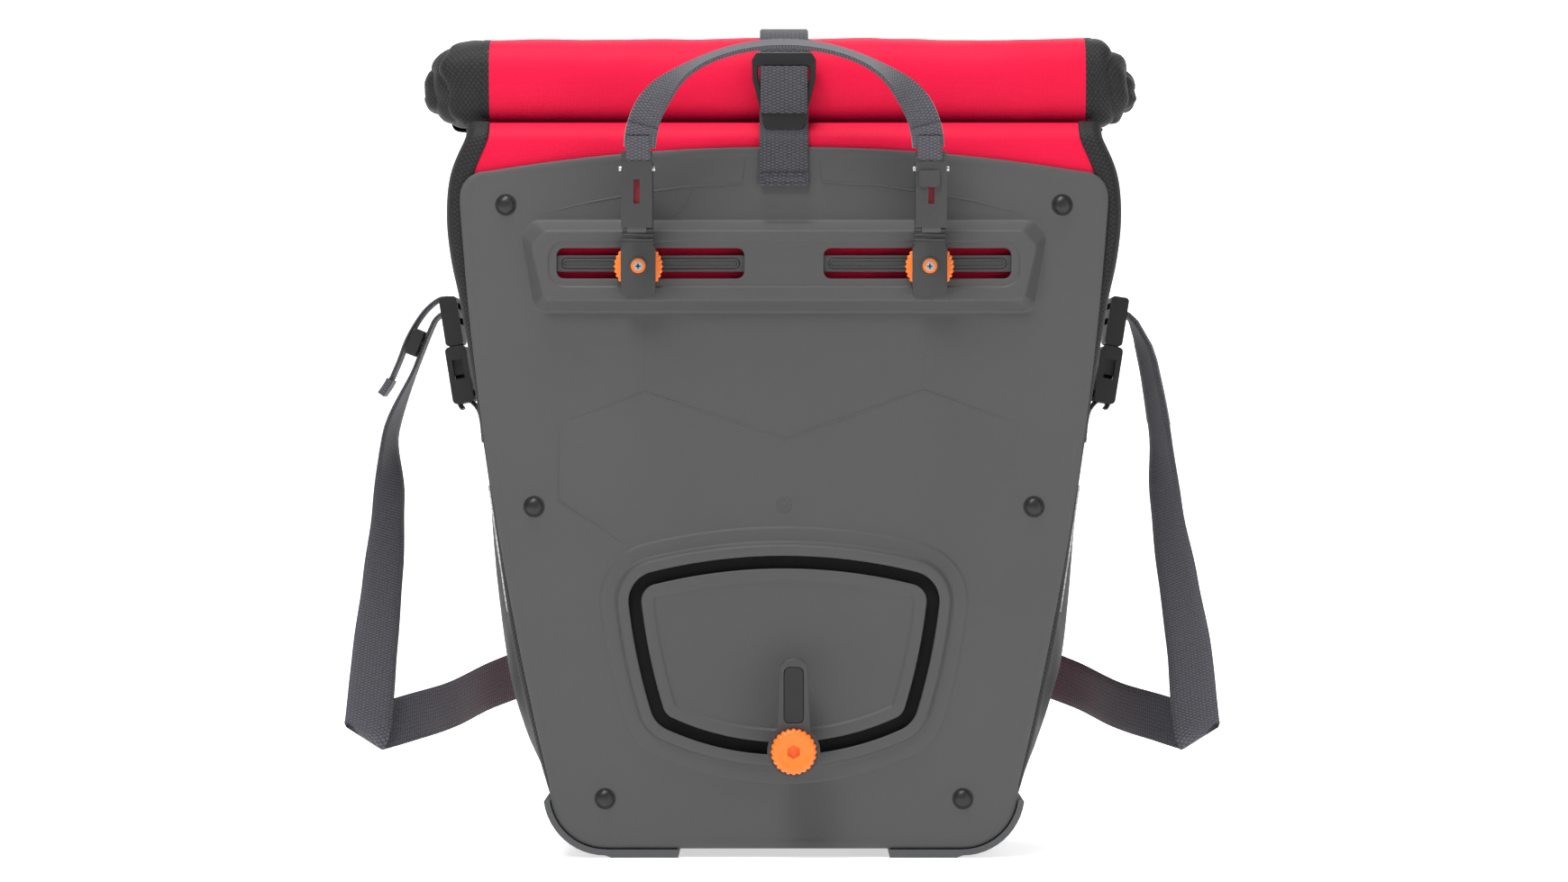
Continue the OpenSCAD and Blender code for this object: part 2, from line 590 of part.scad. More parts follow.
// ---- side-release buckles ---------------------------------------------------------------------
side_x = 171;
side_y = 60;
side_z = 262;
side_tilt = 9;
module at_side(s) {
    translate([s * side_x, face_y + side_y, side_z]) rotate([0, s * side_tilt, 0]) children();
}
module buckle_female(s) color([0.18, 0.18, 0.19]) at_side(s) difference() {
    union() {
        upright(-16.5, 16.5) rounded_box(-5.5, 5.5, -30, 0, 2.5);
    }
    translate([-3.3, -13.6, -20]) cube([6.6, 27.2, 21]);
    for (m = [-1, 1]) translate([-2.6, m * 15 - 2, -17]) cube([5.2, 4, 10]);
    translate([-7, -13, -27]) cube([14, 26, 3.2]);
}
module buckle_female_left() buckle_female(-1);
module buckle_female_right() buckle_female(1);
module buckle_male(s) color([0.18, 0.18, 0.19]) at_side(s) difference() {
    union() {
        upright(-15.5, 15.5) rounded_box(-4.6, 4.6, 0.4, 26, 2);
        for (m = [-1, 1]) translate([-2.9, m * 10.6 - 2.4, -15]) cube([5.8, 4.8, 16]);
        translate([-2.9, -2, -18]) cube([5.8, 4, 19]);
    }
    translate([-6, -13, 19]) cube([12, 26, 3.4]);
    translate([-6, -13, 11]) cube([12, 26, 3.4]);
}
module buckle_male_left() buckle_male(-1);
module buckle_male_right() buckle_male(1);
// sewn loop that holds the female half on the side of the bag
module side_tab(s) color([0.3, 0.3, 0.32])
    loft([for (p = [[side_x - 15.4, 218], [side_x - 14.6, 222], [side_x - 13.3, 227], [side_x - 9.8, 231.8]])
        [for (q = [[0, -12.5], [1.6, -12.5], [1.6, 12.5], [0, 12.5]])
            [s * (p[0] + q[0]), face_y + side_y + s * q[1], p[1]]]]);
module side_tab_left() side_tab(-1);
module side_tab_right() side_tab(1);

// ---- shoulder strap ---------------------------------------------------------------------------
// rows of [centre, width direction] from the left buckle, down, over a slanting fold, behind the
// bag and up to the right buckle
fold_wide = [0.82, 0, -0.57];
fold_wide_right = [-0.82, 0, -0.57];
strap_rows = [
    [[-180.4, 60, 282], [0, 1, 0]],
    [[-184, 60, 272], [0, 1, 0]],
    [[-192, 61, 252], [0, 1, 0]],
    [[-206, 66, 217], [0.25, 1, 0]],
    [[-208, 76, 180], [0.6, 0.8, 0]],
    [[-212, 88, 141], [0.8, 0.6, 0]],
    [[-217, 100, 103], [0.93, 0.37, 0]],
    [[-220, 106, 75], [0.97, 0.2, -0.1]],
    [[-222, 107, 58], fold_wide],
    [[-224, 110, 55], fold_wide],
    [[-222, 113, 58], fold_wide],
    [[-202, 124, 64], [0.42, 0.1, -0.91]],
    [[-180, 150, 70], [0.12, 0.1, -1]],
    [[-158, 180, 80], [0, 0, -1]],
    [[-126, 194, 90], [0, 0, -1]],
    [[-64, 196, 102], [0, 0, -1]],
    [[0, 196, 106], [0, 0, -1]],
    [[64, 196, 102], [0, 0, -1]],
    [[126, 194, 90], [0, 0, -1]],
    [[158, 180, 80], [0, 0, -1]],
    [[180, 150, 70], [-0.12, 0.1, -1]],
    [[202, 124, 64], [-0.42, 0.1, -0.91]],
    [[220, 113, 58], fold_wide_right],
    [[222, 110, 55], fold_wide_right],
    [[220, 107, 58], fold_wide_right],
    [[218, 106, 75], [-0.97, 0.2, -0.1]],
    [[215, 100, 103], [-0.93, 0.37, 0]],
    [[208, 88, 141], [-0.8, 0.6, 0]],
    [[201, 76, 180], [-0.6, 0.8, 0]],
    [[197, 66, 217], [-0.4, 1, 0]],
    [[190, 61, 255], [-0.3, 1, 0]],
    [[184, 60, 272], [-0.1, 1, 0]],
    [[180.4, 60, 282], [0, 1, 0]]
];
module shoulder_strap() color([0.38, 0.38, 0.4]) at_rack() webbing(strap_rows, strap_w, strap_t);
// three-bar slide on the left leg of the strap
module strap_adjuster() color([0.16, 0.16, 0.17])
    translate([-191.8, face_y + 60, 264]) rotate([0, 22, 0]) difference() {
        translate([-3.2, -16, -7]) cube([6.4, 32, 14]);
        for (z = [-4.6, 1.2]) translate([-6, -13.2, z]) cube([12, 26.4, 3.4]);
    }

back_plate();
rivets();
rivet_washers();
rail_left();
rail_right();
rack_panel();
outer_panel();
shoulder_panel();
corner_left();
corner_right();
corner_left_top();
corner_right_top();
gusset_left();
gusset_right();
bag_base();
base_board();
roll_top();
roll_end_left();
roll_end_right();
roll_stiffener();
guard_left();
guard_right();
reflector_left();
reflector_right();
hook_body_left();
hook_body_right();
hook_liner_left();
hook_liner_right();
latch_left();
latch_right();
latch_pin_left();
latch_pin_right();
latch_flag_left();
latch_flag_right();
clamp_screw_left();
clamp_screw_right();
slide_shoe_left();
slide_shoe_right();
thumbwheel_left();
thumbwheel_right();
groove_shoe();
stay_arm();
arm_pad();
knob();
carry_handle();
closure_strap();
closure_tail();
closure_buckle();
closure_anchor();
side_tab_left();
side_tab_right();
buckle_female_left();
buckle_female_right();
buckle_male_left();
buckle_male_right();
strap_adjuster();
shoulder_strap();
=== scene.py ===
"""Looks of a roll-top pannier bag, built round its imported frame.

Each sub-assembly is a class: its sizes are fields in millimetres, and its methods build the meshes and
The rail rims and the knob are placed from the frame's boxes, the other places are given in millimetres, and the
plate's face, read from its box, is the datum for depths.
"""

from __future__ import annotations

import logging
import math
from dataclasses import dataclass, field
from enum import Enum
from typing import Callable, Iterable, Sequence

import bmesh
import bpy
from mathutils import Matrix, Vector, noise


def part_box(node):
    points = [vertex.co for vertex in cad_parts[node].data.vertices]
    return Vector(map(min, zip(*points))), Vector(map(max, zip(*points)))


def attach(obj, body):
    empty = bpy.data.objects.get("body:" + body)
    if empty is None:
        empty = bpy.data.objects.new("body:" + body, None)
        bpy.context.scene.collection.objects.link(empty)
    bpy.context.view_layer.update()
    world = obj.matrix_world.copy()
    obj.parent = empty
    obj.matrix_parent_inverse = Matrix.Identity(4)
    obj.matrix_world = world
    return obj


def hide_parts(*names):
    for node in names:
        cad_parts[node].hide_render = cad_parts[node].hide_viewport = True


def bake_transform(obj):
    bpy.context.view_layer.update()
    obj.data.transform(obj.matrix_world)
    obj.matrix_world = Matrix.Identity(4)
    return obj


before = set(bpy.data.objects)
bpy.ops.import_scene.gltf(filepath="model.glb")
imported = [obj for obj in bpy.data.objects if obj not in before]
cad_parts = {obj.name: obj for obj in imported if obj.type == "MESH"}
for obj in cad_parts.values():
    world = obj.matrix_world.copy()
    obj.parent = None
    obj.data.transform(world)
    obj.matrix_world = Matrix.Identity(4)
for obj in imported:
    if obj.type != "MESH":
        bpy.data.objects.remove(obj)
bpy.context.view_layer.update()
LOG = logging.getLogger("pannier")
MM = 0.001
PLATE_WALL_MM = 3.0
FACE_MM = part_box("back_plate")[1].y / MM - PLATE_WALL_MM
MATH = "ShaderNodeMath"
Pair = tuple[float, float]
Ring = Sequence[Vector]


class Side(Enum):
    """The two sides of the bag, seen from the rack."""

    LEFT = -1
    RIGHT = 1

    @property
    def word(self) -> str:
        """The side's name as nodes and bodies spell it."""
        return self.name.lower()


# ---- materials -------------------------------------------------------------------------------------


def paint(colour: str) -> tuple[float, float, float, float]:
    """Turns an sRGB colour into the linear one that shaders take.

    Args:
        colour: Six hex digits, such as "5f5f5f".

    Returns:
        Linear red, green, blue and an alpha of one.
    """
    parts = [int(colour[i : i + 2], 16) / 255 for i in (0, 2, 4)]
    red, green, blue = (c / 12.92 if c <= 0.04045 else ((c + 0.055) / 1.055) ** 2.4 for c in parts)
    return red, green, blue, 1.0


def add_node(
    tree: bpy.types.NodeTree, kind: str, feeds: dict | None = None, **settings: object
) -> bpy.types.Node:
    """Adds one shader node with its settings and what feeds its inputs.

    Args:
        tree: The material's node tree.
        kind: The node's Blender type.
        feeds: Input socket (name or number) to the output socket that feeds it, or to its constant.
        **settings: The node's own properties.

    Returns:
        The new node.
    """
    node = tree.nodes.new(kind)
    for key, value in settings.items():
        setattr(node, key, value)
    for key, feed in (feeds or {}).items():
        if isinstance(feed, bpy.types.NodeSocket):
            tree.links.new(feed, node.inputs[key])
        else:
            node.inputs[key].default_value = feed
    return node


def new_material(name: str) -> tuple[bpy.types.Material, bpy.types.NodeTree, bpy.types.Node]:
    """Makes an empty node material.

    Args:
        name: The finish's name.

    Returns:
        The material, its tree and its Principled shader, already linked to the output.
    """
    material = bpy.data.materials.new(name)
    material.use_nodes = True
    tree = material.node_tree
    tree.nodes.clear()
    shader = add_node(tree, "ShaderNodeBsdfPrincipled")
    add_node(tree, "ShaderNodeOutputMaterial", {"Surface": shader.outputs[0]})
    return material, tree, shader


def tint(
    tree: bpy.types.NodeTree, shader: bpy.types.Node, amount: bpy.types.NodeSocket, low: str, high: str
) -> None:
    """Feeds the shader's base colour with a mix of two colours.

    Args:
        tree: The material's node tree.
        shader: Its Principled shader.
        amount: How much of the second colour shows.
        low: The first colour, in sRGB hex digits.
        high: The second colour.
    """
    mix = add_node(tree, "ShaderNodeMix", {"Factor": amount}, data_type="RGBA")
    mix.inputs["A"].default_value = paint(low)
    mix.inputs["B"].default_value = paint(high)
    tree.links.new(mix.outputs["Result"], shader.inputs["Base Color"])


def raise_surface(
    tree: bpy.types.NodeTree,
    shader: bpy.types.Node,
    height: bpy.types.NodeSocket,
    depth_mm: float,
    strength: float,
) -> None:
    """Feeds the shader's normal with a bump.

    Args:
        tree: The material's node tree.
        shader: Its Principled shader.
        height: The height pattern.
        depth_mm: How deep the pattern goes, in millimetres.
        strength: How strongly it shows.
    """
    bump = add_node(
        tree, "ShaderNodeBump", {"Height": height, "Distance": depth_mm * MM, "Strength": strength}
    )
    tree.links.new(bump.outputs[0], shader.inputs["Normal"])


@dataclass(frozen=True)
class MouldedPlastic:
    """Injection-moulded plastic with a spark-eroded grain: a soft even sheen broken by fine pits."""

    name: str
    low: str
    high: str
    roughness: float = 0.5
    grain_mm: float = 0.9
    grain_depth_mm: float = 0.12
    coat: float = 0.0
    specular: float = 0.5

    def make(self) -> bpy.types.Material:
        """Builds the material.

        Returns:
            The finished material.
        """
        material, tree, shader = new_material(self.name)
        where = add_node(tree, "ShaderNodeTexCoord").outputs["Object"]
        cloud = add_node(tree, "ShaderNodeTexNoise", {"Vector": where, "Scale": 9.0, "Detail": 3.0})
        tint(tree, shader, cloud.outputs["Fac"], self.low, self.high)
        grain = add_node(
            tree, "ShaderNodeTexNoise", {"Vector": where, "Scale": 1 / (self.grain_mm * MM), "Detail": 2.0}
        )
        raise_surface(tree, shader, grain.outputs["Fac"], self.grain_depth_mm, 0.55)
        gloss = add_node(
            tree,
            "ShaderNodeMapRange",
            {"Value": grain.outputs["Fac"], "To Min": self.roughness - 0.07, "To Max": self.roughness + 0.09},
        )
        tree.links.new(gloss.outputs[0], shader.inputs["Roughness"])
        shader.inputs["IOR"].default_value = 1.49
        shader.inputs["Specular IOR Level"].default_value = self.specular
        shader.inputs["Coat Weight"].default_value = self.coat
        return material


@dataclass(frozen=True)
class PlatedSteel:
    """Zinc-plated steel, turned and barrel-plated: bright, with a faint blue cast and soft scuffs."""

    name: str = "zinc_plated_steel"
    low: str = "aeb2b8"
    high: str = "d4d7da"
    roughness: float = 0.3
    scuff_mm: float = 2.5

    def make(self) -> bpy.types.Material:
        """Builds the material.

        Returns:
            The finished material.
        """
        material, tree, shader = new_material(self.name)
        where = add_node(tree, "ShaderNodeTexCoord").outputs["Object"]
        scuff = add_node(
            tree, "ShaderNodeTexNoise", {"Vector": where, "Scale": 1 / (self.scuff_mm * MM), "Detail": 4.0}
        )
        tint(tree, shader, scuff.outputs["Fac"], self.low, self.high)
        shader.inputs["Metallic"].default_value = 1.0
        gloss = add_node(
            tree,
            "ShaderNodeMapRange",
            {"Value": scuff.outputs["Fac"], "To Min": self.roughness - 0.08, "To Max": self.roughness + 0.12},
        )
        tree.links.new(gloss.outputs[0], shader.inputs["Roughness"])
        return material


@dataclass(frozen=True)
class CoatedTarpaulin:
    """Knife-coated polyester tarpaulin: a smooth film with a soft gloss, through which the scrim just shows."""

    name: str
    low: str
    high: str
    roughness: float = 0.42
    scrim_mm: float = 1.1
    crease_mm: float = 34.0
    crease_depth_mm: float = 1.1

    def make(self) -> bpy.types.Material:
        """Builds the material.

        Returns:
            The finished material.
        """
        material, tree, shader = new_material(self.name)
        where = add_node(tree, "ShaderNodeTexCoord").outputs["Object"]
        cloud = add_node(tree, "ShaderNodeTexNoise", {"Vector": where, "Scale": 14.0, "Detail": 4.0})
        tint(tree, shader, cloud.outputs["Fac"], self.low, self.high)
        # the scrim is a square net of threads; long soft creases lie over it
        axes = add_node(tree, "ShaderNodeSeparateXYZ", {"Vector": where}).outputs
        turns = 2 * math.pi / (self.scrim_mm * MM)
        threads = []
        for axis in (0, 2):
            turned = add_node(tree, MATH, {0: axes[axis], 1: turns}, operation="MULTIPLY").outputs[0]
            threads.append(add_node(tree, MATH, {0: turned}, operation="SINE").outputs[0])
        crossed = add_node(tree, MATH, dict(enumerate(threads)), operation="ADD").outputs[0]
        net = add_node(tree, MATH, {0: crossed, 1: 0.03}, operation="MULTIPLY").outputs[0]
        stretch = add_node(tree, "ShaderNodeMapping", {"Vector": where, "Scale": (0.45, 1.0, 1.0)})
        crease = add_node(
            tree,
            "ShaderNodeTexNoise",
            {
                "Vector": stretch.outputs[0],
                "Scale": 1 / (self.crease_mm * MM),
                "Detail": 3.0,
                "Distortion": 0.4,
            },
        )
        height = add_node(tree, MATH, {0: net, 1: crease.outputs["Fac"]}, operation="ADD").outputs[0]
        raise_surface(tree, shader, height, self.crease_depth_mm, 0.6)
        shader.inputs["Roughness"].default_value = self.roughness
        shader.inputs["IOR"].default_value = 1.5
        shader.inputs["Specular IOR Level"].default_value = 0.15
        return material


class Weave(Enum):
    """How the yarn of a cloth lies."""

    HERRINGBONE = "herringbone"
    BASKET = "basket"


@dataclass(frozen=True)
class WovenFabric:
    """Woven synthetic cloth or webbing: rows of yarn, each catching a little light along its crown.

    The yarn's true pitch is about a millimetre; it is drawn a little coarser, so that it shows.
    """

    name: str
    low: str
    high: str
    pitch_mm: float = 1.9
    column_mm: float = 5.0
    roughness: float = 0.72
    depth_mm: float = 0.35
    sheen: float = 0.25
    on_uv: bool = True
    weave: Weave = Weave.HERRINGBONE

    def make(self) -> bpy.types.Material:
        """Builds the material.

        Returns:
            The finished material.
        """
        material, tree, shader = new_material(self.name)
        coordinates = add_node(tree, "ShaderNodeTexCoord").outputs
        where = coordinates["UV" if self.on_uv else "Object"]
        axes = add_node(tree, "ShaderNodeSeparateXYZ", {"Vector": where}).outputs
        unit = 1.0 if self.on_uv else 1 / MM
        across = add_node(tree, MATH, {0: axes[0], 1: unit}, operation="MULTIPLY").outputs[0]
        lengthwise = axes[1 if self.on_uv else 2]
        along = add_node(tree, MATH, {0: lengthwise, 1: unit}, operation="MULTIPLY").outputs[0]
        if self.weave is Weave.HERRINGBONE:
            slant = add_node(tree, MATH, {0: across, 1: self.column_mm}, operation="PINGPONG").outputs[0]
        else:
            share = add_node(tree, MATH, {0: across, 1: self.column_mm}, operation="DIVIDE").outputs[0]
            column = add_node(tree, MATH, {0: share}, operation="FLOOR").outputs[0]
            odd = add_node(tree, MATH, {0: column, 1: 2.0}, operation="FLOORED_MODULO").outputs[0]
            slant = add_node(tree, MATH, {0: odd, 1: self.pitch_mm / 2}, operation="MULTIPLY").outputs[0]
        leant = add_node(tree, MATH, {0: along, 1: slant}, operation="ADD").outputs[0]
        turns = 2 * math.pi / self.pitch_mm
        rows = add_node(tree, MATH, {0: leant, 1: turns}, operation="MULTIPLY").outputs[0]
        swing = add_node(tree, MATH, {0: rows}, operation="SINE").outputs[0]
        wave = add_node(tree, MATH, {0: swing, 1: 0.5, 2: 0.5}, operation="MULTIPLY_ADD").outputs[0]
        if self.weave is Weave.BASKET:
            turn = add_node(tree, MATH, {0: across, 1: math.pi / self.column_mm}, operation="MULTIPLY")
            bulge = add_node(tree, MATH, {0: turn.outputs[0]}, operation="SINE").outputs[0]
            crown = add_node(tree, MATH, {0: bulge}, operation="ABSOLUTE").outputs[0]
            flat = add_node(tree, MATH, {0: crown, 1: 0.4}, operation="POWER").outputs[0]
            wave = add_node(tree, MATH, {0: wave, 1: flat}, operation="MULTIPLY").outputs[0]
        fuzz = add_node(tree, "ShaderNodeTexNoise", {"Vector": where, "Scale": 0.6 * unit, "Detail": 3.0})
        yarn = add_node(tree, MATH, {0: wave, 1: 0.6}, operation="MULTIPLY").outputs[0]
        feeds = {0: fuzz.outputs["Fac"], 1: 0.45, 2: yarn}
        mixed = add_node(tree, MATH, feeds, operation="MULTIPLY_ADD").outputs[0]
        tint(tree, shader, mixed, self.low, self.high)
        raise_surface(tree, shader, mixed, self.depth_mm, 0.7)
        shader.inputs["Roughness"].default_value = self.roughness
        shader.inputs["Specular IOR Level"].default_value = 0.2
        shader.inputs["Sheen Weight"].default_value = self.sheen
        shader.inputs["Sheen Roughness"].default_value = 0.45
        return material


@dataclass(frozen=True)
class BeadedFilm:
    """Retroreflective film of glass beads under a clear sheet: pale, with a honeycomb of seal lines."""

    name: str = "beaded_reflective_film"
    low: str = "8f9396"
    high: str = "dcdfe1"
    cell_mm: float = 3.2

    def make(self) -> bpy.types.Material:
        """Builds the material.

        Returns:
            The finished material.
        """
        material, tree, shader = new_material(self.name)
        where = add_node(tree, "ShaderNodeTexCoord").outputs["Object"]
        cells = add_node(
            tree,
            "ShaderNodeTexVoronoi",
            {"Vector": where, "Scale": 1 / (self.cell_mm * MM), "Randomness": 0.1},
            feature="DISTANCE_TO_EDGE",
        )
        steep = add_node(tree, MATH, {0: cells.outputs[0], 1: 6.0}, operation="MULTIPLY").outputs[0]
        lines = add_node(tree, MATH, {0: steep, 1: 1.0}, operation="MINIMUM").outputs[0]
        tint(tree, shader, lines, self.low, self.high)
        shader.inputs["Roughness"].default_value = 0.28
        shader.inputs["Coat Weight"].default_value = 0.4
        return material


class Finishes:
    """Every finish of the bag, made once."""

    def __init__(self) -> None:
        """Builds the materials."""
        self.plate = MouldedPlastic(
            "moulded_polypropylene_grey", "434343", "4a4a4a", 0.55, 1.0, 0.16, specular=0.35
        ).make()
        # painted shade: the groove's walls and floor are near-black to stand in for the shadow deep inside the
        # groove
        self.groove = MouldedPlastic("moulded_liner_black", "070707", "0d0d0d", 0.7, specular=0.2).make()
        self.guard = MouldedPlastic("moulded_bumper_grey", "3e3f41", "48494b", 0.55, 1.1, 0.2).make()
        self.black = MouldedPlastic(
            "moulded_acetal_black", "19191a", "232324", 0.4, 1.3, 0.05, 0.05, 0.35
        ).make()
        self.hook = MouldedPlastic("moulded_nylon_black", "303031", "3a3a3b", 0.42, 1.0, 0.08).make()
        self.orange = MouldedPlastic("moulded_nylon_orange", "ee6c10", "f47a22", 0.42, 1.4, 0.05).make()
        self.flag = MouldedPlastic("moulded_flag_red", "8e0d1c", "a01626", 0.4).make()
        self.lining = MouldedPlastic("moulded_board_black", "222224", "2c2c2e", 0.6, specular=0.3).make()
        self.steel = PlatedSteel().make()
        self.red = CoatedTarpaulin("coated_tarpaulin_red", "cc0a34", "da103e", 0.6).make()
        self.charcoal = WovenFabric(
            "coated_polyester_charcoal", "0d0d0e", "303032", 2.4, 1.7, 0.6, 0.3, 0.04, weave=Weave.BASKET
        ).make()
        self.webbing = WovenFabric(
            "woven_webbing_grey", "26262a", "606067", 1.5, 1.9, 0.7, 0.4, weave=Weave.BASKET
        ).make()
        self.dark_webbing = WovenFabric(
            "woven_webbing_dark", "17171a", "5a5a60", 1.5, 2.1, 0.7, 0.5, weave=Weave.BASKET
        ).make()
        self.thread = WovenFabric(
            "sewing_thread_dark", "141416", "333336", 1.2, 1.0, 0.7, 0.2, 0.1, on_uv=False
        ).make()
        self.film = BeadedFilm().make()


def dress(piece: bpy.types.Object, *materials: bpy.types.Material) -> bpy.types.Object:
    """Gives a piece its materials, in slot order.

    Args:
        piece: A new piece or a CAD node's object.
        *materials: The finishes.

    Returns:
        The same piece.
    """
    if len(piece.material_slots) == len(materials):
        for place, material in zip(piece.material_slots, materials):
            place.material = material
    else:
        piece.data.materials.clear()
        for material in materials:
            piece.data.materials.append(material)
    return piece


# ---- modelling by hand -----------------------------------------------------------------------------


def rest() -> None:
    """Leaves edit mode and deselects everything."""
    if bpy.context.object and bpy.context.object.mode != "OBJECT":
        bpy.ops.object.mode_set(mode="OBJECT")
    bpy.ops.object.select_all(action="DESELECT")


def take(piece: bpy.types.Object) -> None:
    """Makes one piece the only selected and active one."""
    rest()
    piece.select_set(True)
    bpy.context.view_layer.objects.active = piece


def edit(piece: bpy.types.Object) -> bmesh.types.BMesh:
    """Opens a piece in edit mode.

    Args:
        piece: The piece to work on.

    Returns:
        Its edit mesh, with tables ready.
    """
    take(piece)
    bpy.ops.object.mode_set(mode="EDIT")
    mesh = bmesh.from_edit_mesh(piece.data)
    mesh.verts.ensure_lookup_table()
    return mesh


def modify(piece: bpy.types.Object, kind: str, **settings: object) -> bpy.types.Object:
    """Adds a modifier and applies it.

    Args:
        piece: The piece.
        kind: The modifier's Blender type.
        **settings: The modifier's properties.

    Returns:
        The same piece.
    """
    take(piece)
    modifier = piece.modifiers.new(kind.lower(), kind)
    for key, value in settings.items():
        setattr(modifier, key, value)
    bpy.ops.object.modifier_apply(modifier=modifier.name)
    return piece


def subdivided(piece: bpy.types.Object) -> bpy.types.Object:
    """Smooths a shell by halving its faces; its flat ends are opened first and closed again after.

    Args:
        piece: The shell.

    Returns:
        The same piece.
    """
    mesh = edit(piece)
    ends = [face for face in mesh.faces if len(face.verts) > 4]
    bmesh.ops.delete(mesh, geom=ends, context="FACES_ONLY")
    bmesh.update_edit_mesh(piece.data)
    modify(piece, "SUBSURF", levels=1, render_levels=1)
    edit(piece)
    bpy.ops.mesh.select_all(action="SELECT")
    bpy.ops.mesh.fill_holes(sides=0)
    bpy.ops.mesh.normals_make_consistent(inside=False)
    rest()
    return piece


def smooth(piece: bpy.types.Object, degrees: float = 35) -> bpy.types.Object:
    """Shades a piece smooth, with edges sharper than the given angle kept crisp."""
    take(piece)
    bpy.ops.object.shade_smooth_by_angle(angle=math.radians(degrees))
    return piece


def tidy(piece: bpy.types.Object, gap_mm: float = 0.01) -> bpy.types.Object:
    """Merges doubled points and turns every face outwards."""
    edit(piece)
    bpy.ops.mesh.select_all(action="SELECT")
    bpy.ops.mesh.remove_doubles(threshold=gap_mm * MM)
    bpy.ops.mesh.normals_make_consistent(inside=False)
    rest()
    return piece


def join(name: str, pieces: Sequence[bpy.types.Object]) -> bpy.types.Object:
    """Joins pieces into the first one.

    Args:
        name: The joined piece's name.
        pieces: The pieces, the first of which stays.

    Returns:
        The joined piece.
    """
    take(pieces[0])
    for piece in pieces:
        piece.select_set(True)
    bpy.ops.object.join()
    pieces[0].name = name
    rest()
    return pieces[0]


def loft(name: str, rings: Sequence[Ring], cap: bool = True, uv: bool = True) -> bpy.types.Object:
    """Extrudes a closed ring of points through the rings that follow it.

    Args:
        name: The piece's name.
        rings: Rings of points in metres, all of one length.
        cap: Whether the first and last rings are closed with a face.
        uv: Whether the walls get a map in millimetres, across the ring and along the run.

    Returns:
        The new piece, its faces outwards.
    """
    rest()
    count = len(rings[0])
    bpy.ops.mesh.primitive_circle_add(vertices=count, fill_type="NOTHING")
    piece = bpy.context.object
    piece.name = name
    mesh = edit(piece)
    current = list(mesh.verts)
    for vert, point in zip(current, rings[0]):
        vert.co = point
    bpy.ops.mesh.select_all(action="SELECT")
    rows = [[v.index for v in current]]
    for ring in rings[1:]:
        bpy.ops.mesh.extrude_region_move()
        mesh = bmesh.from_edit_mesh(piece.data)
        mesh.verts.ensure_lookup_table()
        row = []
        for index, point in zip(rows[-1], ring):
            old = mesh.verts[index]
            fresh = next(e.other_vert(old) for e in old.link_edges if e.other_vert(old).select)
            fresh.co = point
            row.append(fresh.index)
        rows.append(row)
    if uv:
        map_rings(mesh, rows, rings)
    if cap:
        for row in (rows[0], rows[-1]):
            bpy.ops.mesh.select_all(action="DESELECT")
            for index in row:
                mesh.verts[index].select = True
            mesh.select_flush(True)
            bpy.ops.mesh.edge_face_add()
            mesh = bmesh.from_edit_mesh(piece.data)
            mesh.verts.ensure_lookup_table()
    bpy.ops.mesh.select_all(action="SELECT")
    bpy.ops.mesh.normals_make_consistent(inside=False)
    rest()
    return piece


def map_rings(mesh: bmesh.types.BMesh, rows: Sequence[Sequence[int]], rings: Sequence[Ring]) -> None:
    """Lays a map in millimetres on lofted walls.

    Args:
        mesh: The edit mesh.
        rows: The index of each ring's points.
        rings: The same points' places.
    """
    layer = mesh.loops.layers.uv.verify()
    count = len(rows[0])
    middle = rings[len(rings) // 2]
    across = [0.0]
    for i in range(count):
        across.append(across[-1] + (middle[(i + 1) % count] - middle[i]).length / MM)
    along = [0.0]
    for before, after in zip(rings, rings[1:]):
        centre = sum(((b - a).length for a, b in zip(before, after)), 0.0) / count
        along.append(along[-1] + centre / MM)
    place = {index: (k, i) for k, row in enumerate(rows) for i, index in enumerate(row)}
    for face in mesh.faces:
        columns = [place[loop.vert.index][1] for loop in face.loops]
        wraps = max(columns) - min(columns) > 1
        for loop in face.loops:
            k, i = place[loop.vert.index]
            loop[layer].uv = (across[count if wraps and i == 0 else i], along[k])


def lathe(name: str, profile: Sequence[Pair], centre: Vector, steps: int = 40) -> bpy.types.Object:
    """Turns a profile about a line along Y.

    Args:
        name: The piece's name.
        profile: Radius and depth pairs in millimetres, depth counted from the centre.
        centre: A point of the line, in metres.
        steps: Points round each circle.

    Returns:
        The new piece.
    """
    rings = [
        [
            centre + Vector((math.cos(a) * r, 0, math.sin(a) * r)) * MM + Vector((0, y * MM, 0))
            for a in (2 * math.pi * i / steps for i in range(steps))
        ]
        for r, y in profile
    ]
    return smooth(loft(name, rings), 40)


def refined(node: str, bevel_mm: float = 0.5, segments: int = 2, angle: float = 40) -> bpy.types.Object:
    """Copies a CAD node's mesh and rounds its edges, as a moulding's are.

    Args:
        node: The CAD node, which the copy replaces.
        bevel_mm: Width of the rounding.
        segments: Steps of the rounding.
        angle: Edges sharper than this many degrees are rounded.

    Returns:
        The new piece.
    """
    rest()
    piece = bpy.data.objects.new(f"{node}_moulding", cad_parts[node].data.copy())
    bpy.context.scene.collection.objects.link(piece)
    tidy(piece)
    edit(piece)
    bpy.ops.mesh.select_all(action="SELECT")
    bpy.ops.mesh.dissolve_limited(angle_limit=math.radians(1.5))
    rest()
    modify(
        piece,
        "BEVEL",
        width=bevel_mm * MM,
        segments=segments,
        limit_method="ANGLE",
        angle_limit=math.radians(angle),
        use_clamp_overlap=True,
    )
    modify(smooth(piece, angle), "WEIGHTED_NORMAL", keep_sharp=True, weight=80)
    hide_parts(node)
    return piece


